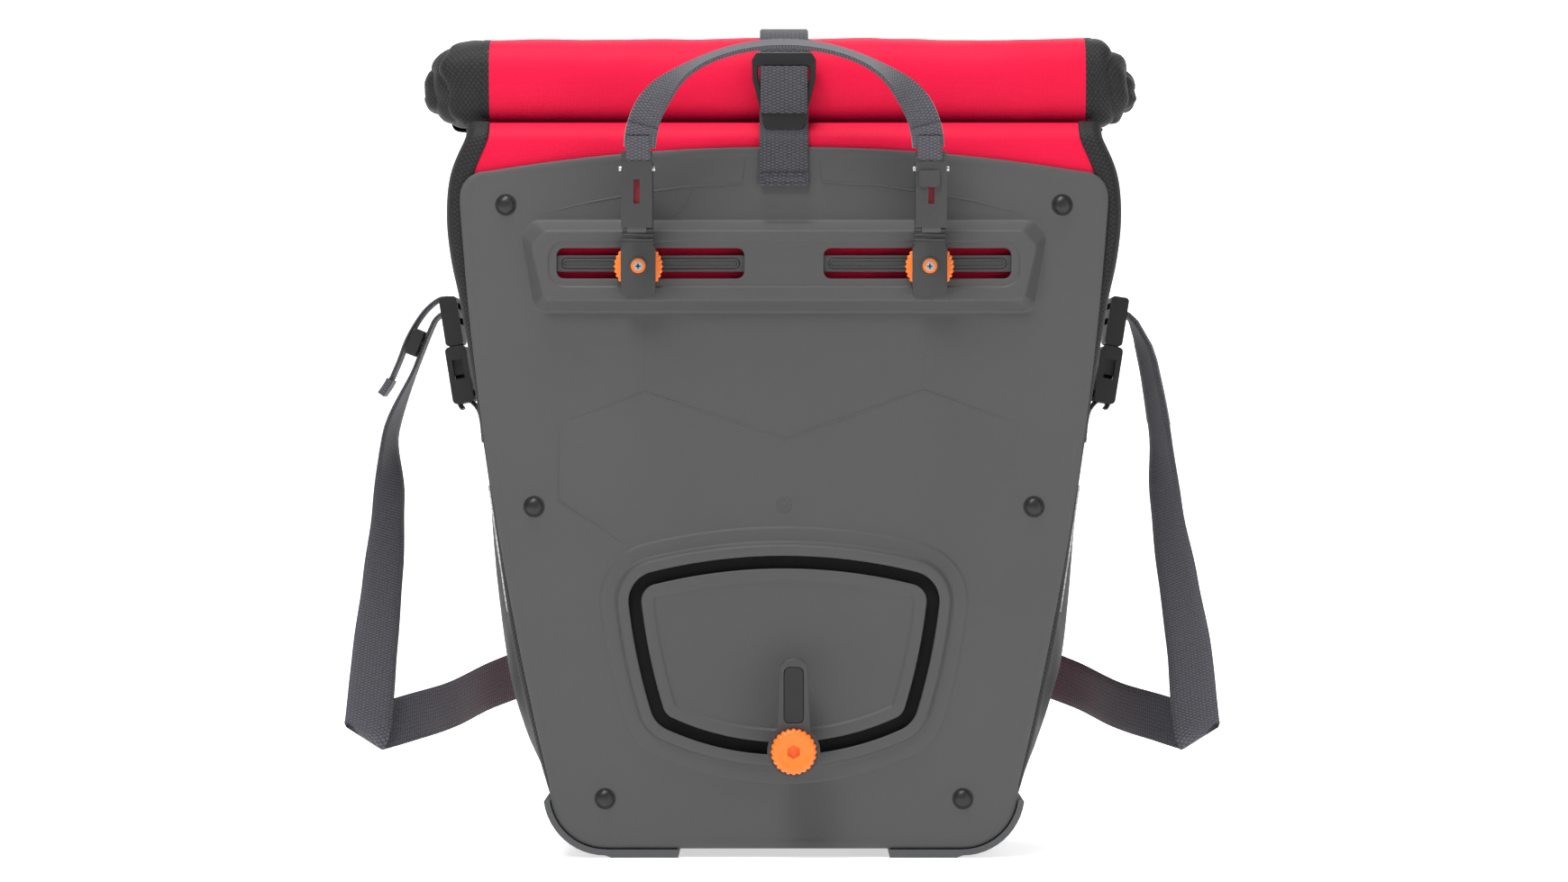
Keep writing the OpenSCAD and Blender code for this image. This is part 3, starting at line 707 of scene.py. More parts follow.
def place(piece: bpy.types.Object, body: str, slot: str, *materials: bpy.types.Material) -> bpy.types.Object:
    """Dresses a new piece, hangs it on its body and reports it.

    Args:
        piece: The piece.
        body: The CAD body that it rides on, or an empty string where it hangs on none.
        slot: A slot name; it is not used.
        *materials: Its finishes, in slot order.

    Returns:
        The same piece.
    """
    dress(piece, *materials)
    if body:
        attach(piece, body)
    LOG.info("%s: %d faces", piece.name, len(piece.data.polygons))
    return piece


def at(x: float, y: float, z: float) -> Vector:
    """A point in metres from millimetres, its depth counted back from the plate's face."""
    return Vector((x, FACE_MM + y, z)) * MM


def arc(centre: Pair, radius: float, start: float, end: float, steps: int) -> list[Pair]:
    """Points on a circle.

    Args:
        centre: The circle's centre.
        radius: Its radius.
        start: First angle, in degrees.
        end: Last angle, in degrees.
        steps: How many steps lie between them.

    Returns:
        The points, both ends included.
    """
    turns = [math.radians(start + (end - start) * i / steps) for i in range(steps + 1)]
    return [(centre[0] + radius * math.cos(a), centre[1] + radius * math.sin(a)) for a in turns]


def bow(start: Pair, end: Pair, sag: float, steps: int) -> list[Pair]:
    """Points on a shallow parabola that bulges to the right of its run."""
    p, q = Vector(start), Vector(end)
    run = q - p
    out = Vector((run.y, -run.x)).normalized()
    ts = [i / steps for i in range(steps + 1)]
    return [tuple(p + run * t + out * (4 * sag * t * (1 - t))) for t in ts]


def both(half: Sequence[Pair]) -> list[Pair]:
    """Closes a right half with its mirror image, dropping points that would double on the middle line."""
    right = [p for p in half if p[0] > 0.01]
    top = [p for p in half[1:] if p[0] <= 0.01]
    foot = [p for p in half[:1] if p[0] <= 0.01]
    return foot + right + top + [(-x, z) for x, z in reversed(right)]


def rounded(corners: Sequence[Pair], radius: float, steps: int = 5) -> list[Pair]:
    """Rounds each corner of a polygon.

    Args:
        corners: The polygon.
        radius: Radius of the rounding.
        steps: Steps of each round.

    Returns:
        The rounded outline, with steps + 1 points for each corner.
    """
    outline = []
    for i, corner in enumerate(corners):
        here = Vector(corner)
        back = (Vector(corners[i - 1]) - here).normalized()
        ahead = (Vector(corners[(i + 1) % len(corners)]) - here).normalized()
        half = back.angle(ahead) / 2
        start, end = here + back * radius / math.tan(half), here + ahead * radius / math.tan(half)
        centre = here + (back + ahead).normalized() * radius / math.sin(half)
        for k in range(steps + 1):
            t = k / steps
            spoke = (start - centre).normalized().slerp((end - centre).normalized(), t) * radius
            outline.append(tuple(centre + spoke))
    return outline


def offset(outline: Sequence[Pair], inward: float) -> list[Pair]:
    """Moves a closed outline inwards along its own normals, keeping its number of points."""
    count = len(outline)
    moved = []
    for i in range(count):
        run = Vector(outline[(i + 1) % count]) - Vector(outline[i - 1])
        moved.append(tuple(Vector(outline[i]) + Vector((-run.y, run.x)).normalized() * inward))
    return moved


def upright(outline: Sequence[Pair], y: float) -> list[Vector]:
    """A ring of points that stands in the plate's plane, at depth y."""
    return [at(x, y, z) for x, z in outline]


def sheet_between(name: str, loops: Sequence[Ring]) -> bpy.types.Object:
    """Fills the flat area between an outer loop and the holes in it.

    Args:
        name: The piece's name.
        loops: The outer loop and the holes' loops, all in one plane.

    Returns:
        The new piece.
    """
    rest()
    bpy.ops.mesh.primitive_circle_add(vertices=len(loops[0]), fill_type="NOTHING")
    piece = bpy.context.object
    piece.name = name
    mesh = edit(piece)
    for vert, point in zip(mesh.verts, loops[0]):
        vert.co = point
    for loop in loops[1:]:
        verts = [mesh.verts.new(point) for point in loop]
        for a, b in zip(verts, verts[1:] + verts[:1]):
            mesh.edges.new((a, b))
    bmesh.update_edit_mesh(piece.data)
    bpy.ops.mesh.select_all(action="SELECT")
    bpy.ops.mesh.fill(use_beauty=True)
    rest()
    return piece


def ribbon(
    name: str, centres: Sequence[Vector], wides: Sequence[Vector], width: float, thick: float, across: int = 6
) -> bpy.types.Object:
    """Webbing that follows a line: a flat band with soft selvedges and a map in millimetres.

    Args:
        name: The piece's name.
        centres: Points along its middle, in metres.
        wides: The direction of its width at each point.
        width: Its width in millimetres.
        thick: Its thickness in millimetres.
        across: Steps across its face.

    Returns:
        The new piece.
    """
    rings = []
    last = len(centres) - 1
    for i, (centre, wide) in enumerate(zip(centres, wides)):
        run = (centres[min(i + 1, last)] - centres[max(i - 1, 0)]).normalized()
        side = (wide - run * wide.dot(run)).normalized()
        out = run.cross(side)
        w, t = width / 2 * MM, thick / 2 * MM
        face = [-w + 0.06 * w + (2 * w - 0.12 * w) * k / across for k in range(across + 1)]
        ring = [centre + side * x - out * t for x in face]
        ring.append(centre + side * w)
        ring += [centre + side * x + out * t for x in reversed(face)]
        ring.append(centre - side * w)
        rings.append(ring)
    return smooth(loft(name, rings), 60)


def spline_piece(points: Sequence[Vector], i: int, step_mm: float) -> list[Vector]:
    """A smooth line from point i up to, but without, the next one.

    Args:
        points: The points that the whole line goes through.
        i: Where the wanted stretch starts.
        step_mm: About how far apart its points lie.

    Returns:
        The stretch's points.
    """
    count = len(points)
    p0, p1, p2, p3 = (points[max(0, min(count - 1, i + k))] for k in (-1, 0, 1, 2))
    steps = max(2, round((p2 - p1).length / MM / step_mm))
    a, b, c = p2 - p0, 2 * p0 - 5 * p1 + 4 * p2 - p3, 3 * p1 - p0 - 3 * p2 + p3
    return [0.5 * (2 * p1 + a * t + b * t * t + c * t**3) for t in (k / steps for k in range(steps))]


def curve_through(points: Sequence[Vector], step_mm: float) -> list[Vector]:
    """A smooth line through points, in steps of about the given length."""
    line = [point for i in range(len(points) - 1) for point in spline_piece(points, i, step_mm)]
    return line + [points[-1].copy()]


def stitches(
    name: str, line: Sequence[Vector], out: Vector, pitch: float = 3.0, thick: float = 0.6
) -> bpy.types.Object:
    """A row of sewn thread: short beads that lie on the cloth with gaps between.

    Args:
        name: The piece's name.
        line: The seam's corners, in metres.
        out: The way off the cloth.
        pitch: Length of one stitch in millimetres.
        thick: Thickness of the thread in millimetres.

    Returns:
        The new piece.
    """
    rings = []
    turns = [2 * math.pi * i / 6 for i in range(6)]
    for t, share in ((0, 0.35), (0.2, 0.9), (0.8, 0.9), (1.0, 0.35)):
        r = share * thick / 2
        rings.append([Vector((t * 0.76 * pitch, math.cos(q) * r, math.sin(q) * r)) for q in turns])
    bead = loft(name, rings, uv=False)
    beads = []
    for a, b in zip(line, line[1:]):
        run = (b - a).normalized()
        side = out.cross(run).normalized()
        turn = Matrix((run, side, out)).transposed().to_4x4()
        for k in range(max(1, int((b - a).length / MM / pitch))):
            copy = bpy.data.objects.new(name, bead.data.copy())
            bpy.context.scene.collection.objects.link(copy)
            spot = a + (run * (k + 0.12) * pitch + out * thick * 0.15) * MM
            copy.data.transform(Matrix.Translation(spot) @ turn @ Matrix.Scale(MM, 4))
            beads.append(copy)
    bpy.data.objects.remove(bead)
    return smooth(join(name, beads), 60)


# ---- studio ----------------------------------------------------------------------------------------


@dataclass
class Studio:
    """A pale floor that sweeps up behind, soft lights and the camera."""

    distance: float = 2500.0
    eye_z: float = 212.75
    view_w: float = 800.4
    sensor: float = 36.0
    white: str = "fdfdfd"

    def camera(self) -> None:
        """Stands the camera square to the plate, at the height of its middle."""
        data = bpy.data.cameras.new("camera")
        data.sensor_width = self.sensor
        data.lens = self.sensor * self.distance / self.view_w
        data.clip_end = 50
        eye = bpy.data.objects.new("camera", data)
        bpy.context.scene.collection.objects.link(eye)
        eye.location = at(0, -self.distance, self.eye_z)
        eye.rotation_euler = (math.pi / 2, 0, 0)
        bpy.context.scene.camera = eye

    def ground(self) -> None:
        """Makes the floor and the sweep behind it, both nearly white."""
        material, tree, shader = new_material("seamless_paper_white")
        where = add_node(tree, "ShaderNodeTexCoord").outputs["Object"]
        tooth = add_node(tree, "ShaderNodeTexNoise", {"Vector": where, "Scale": 500.0})
        tint(tree, shader, tooth.outputs["Fac"], self.white, "ffffff")
        shader.inputs["Roughness"].default_value = 0.9
        shader.inputs["Emission Color"].default_value = paint("ffffff")
        shader.inputs["Emission Strength"].default_value = 0.6
        profile = [(y, 0.0) for y in (-8000, -2000, -500, 0, 500, 1200)] + arc((1200, 1500), 1500, -80, 0, 8)
        profile.append((2700, 7000))
        rest()
        bpy.ops.mesh.primitive_circle_add(vertices=3, fill_type="NOTHING")
        floor = bpy.context.object
        floor.name = "floor"
        mesh = edit(floor)
        bmesh.ops.delete(mesh, geom=list(mesh.verts), context="VERTS")
        rows = [[mesh.verts.new(Vector((x, y, z - 0.05)) * MM) for x in (-9000, 9000)] for y, z in profile]
        for low, high in zip(rows, rows[1:]):
            mesh.faces.new((low[0], low[1], high[1], high[0]))
        bmesh.update_edit_mesh(floor.data)
        rest()
        smooth(floor, 80)
        dress(floor, material)

    def lights(self) -> None:
        """Hangs a large key from above and the left, a fill, a strip that rakes the plate, and a pale sky."""
        spots = (
            ("key", (-700, -1700, 2400), 1200, 47),
            ("fill", (1700, -2000, 800), 1700, 9),
            ("rake", (-200, -420, 2300), 700, 27),
            ("behind", (600, 1900, 1900), 1500, 7),
        )
        for name, spot, size, watts in spots:
            data = bpy.data.lights.new(name, "AREA")
            data.shape = "DISK"
            data.size = size * MM
            data.energy = watts
            lamp = bpy.data.objects.new(name, data)
            bpy.context.scene.collection.objects.link(lamp)
            lamp.location = Vector(spot) * MM
            lamp.rotation_euler = (at(0, 60, 200) - lamp.location).to_track_quat("-Z", "Y").to_euler()
        world = bpy.data.worlds.new("sky")
        world.use_nodes = True
        world.node_tree.nodes["Background"].inputs["Color"].default_value = paint("ffffff")
        world.node_tree.nodes["Background"].inputs["Strength"].default_value = 0.24
        bpy.context.scene.world = world
        bpy.context.scene.view_settings.view_transform = "Standard"


# ---- shoulder strap --------------------------------------------------------------------------------


@dataclass
class ShoulderStrap:
    """The webbing that hangs from the left clip, lies behind the bag and rises to the right clip."""

    width: float = 25.0
    thick: float = 1.5
    rows: tuple = (
        ((-172.6, 60, 279.4), (0, 1, 0)), ((-177.2, 60, 279.6), (0, 1, 0)), ((-181.4, 60, 276.6), (0, 1, 0)),
        ((-184.4, 60, 271), (0, 1, 0)), ((-192, 61, 252), (0, 1, 0)),
        ((-206, 66, 217), (0.25, 1, 0)), ((-208, 76, 180), (0.6, 0.8, 0)), ((-212, 88, 141), (0.8, 0.6, 0)),
        ((-217, 100, 103), (0.93, 0.37, 0)), ((-220, 106, 75), (0.97, 0.2, -0.1)),
        ((-222, 107, 58), (0.82, 0, -0.57)), ((-224, 110, 55), (0.82, 0, -0.57)),
        ((-222, 113, 58), (0.82, 0, -0.57)), ((-202, 124, 64), (0.42, 0.1, -0.91)),
        ((-180, 150, 70), (0.12, 0.1, -1)), ((-158, 180, 80), (0, 0, -1)), ((-126, 194, 90), (0, 0, -1)),
        ((-64, 196, 102), (0, 0, -1)), ((0, 196, 106), (0, 0, -1)), ((64, 196, 102), (0, 0, -1)),
        ((126, 194, 90), (0, 0, -1)), ((158, 180, 80), (0, 0, -1)), ((180, 150, 70), (-0.12, 0.1, -1)),
        ((202, 124, 64), (-0.42, 0.1, -0.91)), ((220, 113, 58), (-0.82, 0, -0.57)),
        ((222, 110, 55), (-0.82, 0, -0.57)), ((220, 107, 58), (-0.82, 0, -0.57)),
        ((218, 106, 75), (-0.97, 0.2, -0.1)), ((215, 100, 103), (-0.93, 0.37, 0)),
        ((208, 88, 141), (-0.8, 0.6, 0)), ((201, 76, 180), (-0.6, 0.8, 0)), ((197, 66, 217), (-0.4, 1, 0)),
        ((190, 61, 255), (-0.3, 1, 0)), ((184.4, 60, 271), (-0.1, 1, 0)), ((181.4, 60, 276.6), (0, 1, 0)),
        ((177.2, 60, 279.6), (0, 1, 0)), ((172.6, 60, 279.4), (0, 1, 0)),
    )

    def route(self) -> tuple[list[Vector], list[Vector]]:
        """Points along the strap and the direction of its width at each.

        Returns:
            The centres, in metres, and the widths' directions.
        """
        points = [at(*spot) for spot, _ in self.rows]
        turns = [Vector(wide).normalized() for _, wide in self.rows]
        centres, wides = [], []
        for i in range(len(points) - 1):
            line = spline_piece(points, i, 5)
            for k, point in enumerate(line):
                t = k / len(line)
                centres.append(point)
                wides.append(turns[i].lerp(turns[i + 1], t * t * (3 - 2 * t)).normalized())
        return centres + [points[-1]], wides + [turns[-1]]

    def build(self, finishes: Finishes) -> None:
        """Makes the strap, its adjuster, its loop with the loose tail, and the sewn end at the right.

        Args:
            finishes: The bag's finishes.
        """
        centres, wides = self.route()
        cut = next(i for i, p in enumerate(centres) if i > len(centres) // 2 and p.z > at(0, 0, 236).z)
        strap = ribbon("shoulder_strap_webbing", centres[: cut + 1], wides[: cut + 1], self.width, self.thick)
        place(strap, "", "grey_webbing", finishes.webbing)
        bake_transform(strap)
        sewn = slice(cut - 3, None)
        end = ribbon("shoulder_strap_end", centres[sewn], wides[sewn], self.width - 0.6, self.thick + 0.9)
        place(end, "", "grey_webbing", finishes.webbing)
        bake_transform(end)
        loop = self.loop(finishes)
        adjuster = place(refined("strap_adjuster", 0.9, 3), "bag", "black_plastic", finishes.black)
        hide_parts("shoulder_strap")

    def loop(self, finishes: Finishes) -> list[bpy.types.Object]:
        """Makes the second run between clip and adjuster and the hemmed tail below it.

        Args:
            finishes: The bag's finishes.

        Returns:
            The tail and its hem.
        """
        spots = ((-173.4, 287.4), (-178.6, 287.2), (-184.4, 283.4), (-190, 277), (-196.4, 266), (-201, 254),
                 (-206, 243), (-210, 237))
        run = curve_through([at(x, 60, z) for x, z in spots], 2.5)
        tail = ribbon("shoulder_strap_tail", run, [Vector((0, 1, 0))] * len(run), self.width - 0.4, self.thick)
        place(tail, "", "grey_webbing", finishes.webbing)
        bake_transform(tail)
        hem = ribbon("shoulder_strap_hem", run[-5:], [Vector((0, 1, 0))] * 5, self.width, self.thick + 2.2)
        place(hem, "bag", "grey_webbing", finishes.webbing)
        return [tail, hem]


# ---- back plate ------------------------------------------------------------------------------------


@dataclass
class BackPlate:
    """The moulded plate: rolled rim, hook block with its two slots, and the grooved boss."""

    half_w: float = 165.6
    top_z: float = 363.0
    foot: Pair = (91.0, 33.2)
    foot_r: float = 28.6
    wall: float = PLATE_WALL_MM
    block_depth: float = 8.0
    floor_depth: float = 7.2
    boss_depth: float = 5.0
    slot: tuple = (20.3, 115.6, 295.5, 311.0, 3.6)
    panel: tuple = (120.5, 290.7, 315.0, 9.0)
    pivot: Pair = (0.0, 196.4)
    groove_r: float = 140.4
    turn: float = 24.5
    corner: float = 12.0
    side_r: float = 300.0
    rivets: tuple = ((142.0, 333.3), (127.6, 179.2), (91.3, 30.1))

    def outline(self) -> list[Pair]:
        """The plate's outer line."""
        corner = (self.half_w - 13, self.top_z - 25.5)
        x, z = self.foot
        return both(
            [(0, z - self.foot_r)]
            + arc(self.foot, self.foot_r, -90, -8, 12)
            + bow((x + self.foot_r, z + 4), (self.half_w, corner[1] - 4), 6.3, 16)
            + arc(corner, 13, 0, 84, 10)
            + bow((corner[0] - 3, corner[1] + 13.4), (0, self.top_z), 3.2, 12)
        )

    def ring(self, d: float) -> list[Pair]:
        """The groove's middle line moved outwards, as a closed outline.

        Args:
            d: How far outwards, in millimetres.

        Returns:
            The outline.
        """
        turn, corner = math.radians(self.turn), self.corner
        low = Vector(self.pivot) + Vector((math.sin(turn), -math.cos(turn))) * (self.groove_r - corner)

        def spoke(degrees: float) -> Vector:
            """A unit arrow at an angle."""
            return Vector((math.cos(math.radians(degrees)), math.sin(math.radians(degrees))))

        side = low - spoke(-17) * (self.side_r - corner)
        high = side + spoke(-6.5) * (self.side_r - corner)
        top_r = high.x / math.cos(math.radians(76)) + corner
        top = high - spoke(76) * (top_r - corner)
        tight = max(corner + d, 0.8)
        return both(
            arc(self.pivot, self.groove_r + d, -90, -90 + self.turn, 16)
            + arc(low, tight, -90 + self.turn + 6, -23, 8)
            + arc(side, self.side_r + d, -17, -6.5, 10)
            + arc(high, tight, -1, 70, 9)
            + arc(top, top_r + d, 76, 90, 10)
        )

    def block(self, d: float) -> list[Pair]:
        """The hook block's outline moved inwards by d, with its corners rounded."""
        half = [(127 - d, 279 + d), (134 - d, 317 - d), (127 - d, 325 - d)]
        return rounded(half + [(-x, z) for x, z in reversed(half)], max(1.2, 6.5 - d * 0.5), 6)

    def slot_line(self, side: int, d: float) -> list[Pair]:
        """A slot's outline moved inwards by d."""
        x0, x1, z0, z1, r = self.slot
        corners = [(x0 + d, z0 + d), (x1 - d, z0 + d), (x1 - d, z1 - d), (x0 + d, z1 - d)]
        line = rounded(corners, r - d, 4)
        return line if side > 0 else [(-x, z) for x, z in reversed(line)]

    def panel_line(self, d: float) -> list[Pair]:
        """The long shallow field round both slots, its outline moved inwards by d."""
        x, z0, z1, r = self.panel
        corners = [(-x + d, z0 + d), (x - d, z0 + d), (x - d, z1 - d), (-x + d, z1 - d)]
        return rounded(corners, r - d, 6)

    @staticmethod
    def walls(name: str, steps: Iterable[Pair], line: Callable[[float], list[Pair]]) -> bpy.types.Object:
        """Lofts an outline through (inset, depth) steps.

        Args:
            name: The part's name.
            steps: How far in and how deep each ring lies.
            line: The function that gives the outline for an inset.

        Returns:
            The new part of the plate.
        """
        return loft(name, [upright(line(d), y) for d, y in steps], cap=False, uv=False)

    def shell(self, finishes: Finishes) -> bpy.types.Object:
        """Builds the whole moulding as one closed skin.

        Args:
            finishes: The bag's finishes.

        Returns:
            The plate.
        """
        outline = self.outline()
        front, floor, crest = -self.block_depth, -self.floor_depth, -self.boss_depth
        ceiling = self.wall - self.block_depth
        rim = [(0, self.wall), (0, 1.0), (0.15, 0.5), (0.5, 0.15), (1.0, 0.0), (2.2, -0.28), (3.6, -0.3),
               (4.6, -0.1), (5.2, 0.0)]
        block = [(-1.4, 0.0), (-0.5, -0.15), (0.3, -0.7), (4.6, -6.9), (5.2, -7.6), (6.0, front)]
        recess = [(0, front), (0.4, -7.85), (0.8, -7.3), (1.2, floor)]
        lip = [(-0.7, floor), (-0.25, -7.05), (0, -6.6), (0, ceiling)]
        boss = [(18.6, 0.0), (18.0, -0.15), (17.5, -0.75), (16.8, -0.9), (11.2, -1.5), (10.2, -2.0),
                (9.4, -3.4), (8.6, -4.6), (7.6, crest), (4.3, crest), (3.6, -4.85), (3.2, -4.4)]
        groove = [(3.2, -4.4), (3.2, -2.6), (5.6, -2.6), (5.6, 0.0), (-5.6, 0.0), (-5.6, -2.6), (-3.2, -2.6),
                  (-3.2, -4.4)]
        badge = [(-3.2, -4.4), (-3.6, -4.85), (-4.3, crest), (-8.6, crest), (-9.2, -4.85), (-9.9, -4.2),
                 (-10.6, -4.0)]
        cavity = [(5, self.wall), (8.5, ceiling)]
        parts = [
            self.walls("plate_rim", rim, lambda d: offset(outline, d)),
            self.walls("plate_block", block, self.block),
            self.walls("plate_field", recess, self.panel_line),
            self.walls("plate_boss", boss, self.ring),
            self.walls("plate_groove", groove, self.ring),
            self.walls("plate_badge", badge, self.ring),
            self.walls("plate_cavity", cavity, self.block),
        ]
        slots = (1, -1)
        parts += [self.walls("plate_slot", lip, lambda d, s=s: self.slot_line(s, d)) for s in slots]
        parts += [
            sheet_between("plate_face", [upright(offset(outline, 5.2), 0), upright(self.block(-1.4), 0),
                                         upright(self.ring(18.6), 0)]),
            sheet_between("plate_front", [upright(self.block(6.0), front), upright(self.panel_line(0), front)]),
            sheet_between("plate_floor", [upright(self.panel_line(1.2), floor)]
                          + [upright(self.slot_line(s, -0.7), floor) for s in slots]),
            sheet_between("plate_ceiling", [upright(self.block(8.5), ceiling)]
                          + [upright(self.slot_line(s, 0), ceiling) for s in slots]),
            sheet_between("plate_back", [upright(outline, self.wall), upright(self.block(5), self.wall)]),
            sheet_between("plate_mark", [upright(self.ring(-10.6), -4)]),
        ]
        for part in parts:
            # the groove's faces take the near-black second finish, painted shade for the groove's depth; every
            # other face takes the plate's grey
            index = 1 if part.name.startswith("plate_groove") else 0
            dress(part, finishes.plate, finishes.groove)
            for face in part.data.polygons:
                face.material_index = index
        plate = tidy(join("back_plate_moulding", parts), 0.004)
        smooth(plate, 50)
        return modify(plate, "WEIGHTED_NORMAL", keep_sharp=True, weight=90)

    @staticmethod
    def ridge(
        name: str, line: Sequence[Pair], y: float = 0.0, width: float = 1.1, height: float = 0.35
    ) -> bpy.types.Object:
        """A low rounded line on a moulded face.

        Args:
            name: The line's name.
            line: Its corners, across and up, in millimetres.
            y: The depth of the face that it stands on.
            width: Its width in millimetres.
            height: How far it stands proud.

        Returns:
            The new piece.
        """
        points = [at(x, y, z) for x, z in line]
        rings = []
        for i, point in enumerate(points):
            run = (points[min(i + 1, len(points) - 1)] - points[max(i - 1, 0)]).normalized()
            side = run.cross(Vector((0, 1, 0)))
            end = 0.2 if i in (0, len(points) - 1) else 1.0
            rings.append(
                [point + (side * math.cos(a) * width / 2 - Vector((0, math.sin(a) * height, 0))) * end * MM
                 for a in (math.pi * k / 6 for k in range(-1, 8))]
            )
        return smooth(loft(name, rings, uv=False), 80)

    def relief(self, finishes: Finishes) -> None:
        """Adds the faint moulded lines and the round mould mark.

        Args:
            finishes: The bag's finishes.
        """
        lines = [
            [(-124, 328.5), (-100, 334.5), (-72, 339.5), (-50, 342.6), (-21.6, 344.2), (-19.3, 358.5)],
            [(122, 328.5), (98, 335), (70, 340), (48, 343.4), (19.5, 344.8), (17.6, 359)],
            [(-115, 221.8), (-71.3, 237.8), (0, 213.9), (71.3, 238.7), (119.6, 221.8)],
            [(-71.3, 237.8), (-71.3, 277)],
            [(71.3, 238.7), (72.5, 277)],
            [(-115, 221.8), (-115, 182.6), (-77, 157)],
            [(119.6, 221.8), (115, 196)],
            [(-58, 325.5), (-50, 333), (-46, 342)],
        ]
        pieces = [self.ridge("plate_line", line) for line in lines]
        mark = [(0.4, -0.2), (1.3, -0.35), (1.4, -0.1), (2.6, -0.1), (2.8, -0.4), (3.7, -0.4), (4.1, 0.1)]
        pieces.append(lathe("mould_mark", mark, at(0, 0, 180.3), 28))
        place(join("plate_relief", pieces), "bag", "plate_plastic", finishes.plate)

    def build(self, finishes: Finishes) -> None:
        """Makes the plate, its rivets and what shows through its slots.

        Args:
            finishes: The bag's finishes.
        """
        plate = place(self.shell(finishes), "bag", "plate_plastic", finishes.plate, finishes.groove)
        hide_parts("back_plate")
        self.relief(finishes)
        heads = []
        collar = [(5.5, 0.05), (5.4, -0.18), (4.9, -0.2), (4.75, 0.05)]
        dome = [(0.3, -2.5), (1.6, -2.42), (2.9, -2.1), (3.9, -1.5), (4.5, -0.75), (4.55, -0.3), (4.3, 0.05)]
        for side in (-1, 1):
            for x, z in self.rivets:
                heads += [lathe("rivet", profile, at(side * x, 0, z), 32) for profile in (collar, dome)]
        place(join("rivet_heads", heads), "bag", "black_plastic", finishes.black)
        dress(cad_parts["rivets"], finishes.black)
        dress(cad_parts["rivet_washers"], finishes.steel)
        rims = []
        for side in Side:
            place(refined(f"rail_{side.word}", 0.5, 2), "bag", "dark_plastic", finishes.hook)
            low, high = (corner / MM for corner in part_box(f"rail_{side.word}"))
            x0, x1 = sorted((side.value * (self.slot[0] + 3), side.value * (self.slot[1] - 3)))
            z0, z1 = max(low.z, 299.2) + 2.2, min(high.z, 308.4) - 2.2
            line = rounded([(x0, z0), (x1, z0), (x1, z1), (x0, z1)], (z1 - z0) * 0.46, 5)
            rims.append(self.ridge("rail_rim", [*line, line[0]], low.y - FACE_MM + 0.05, 0.9, 0.4))
        place(join("rail_rims", rims), "bag", "dark_plastic", finishes.hook)


# ---- bag -------------------------------------------------------------------------------------------


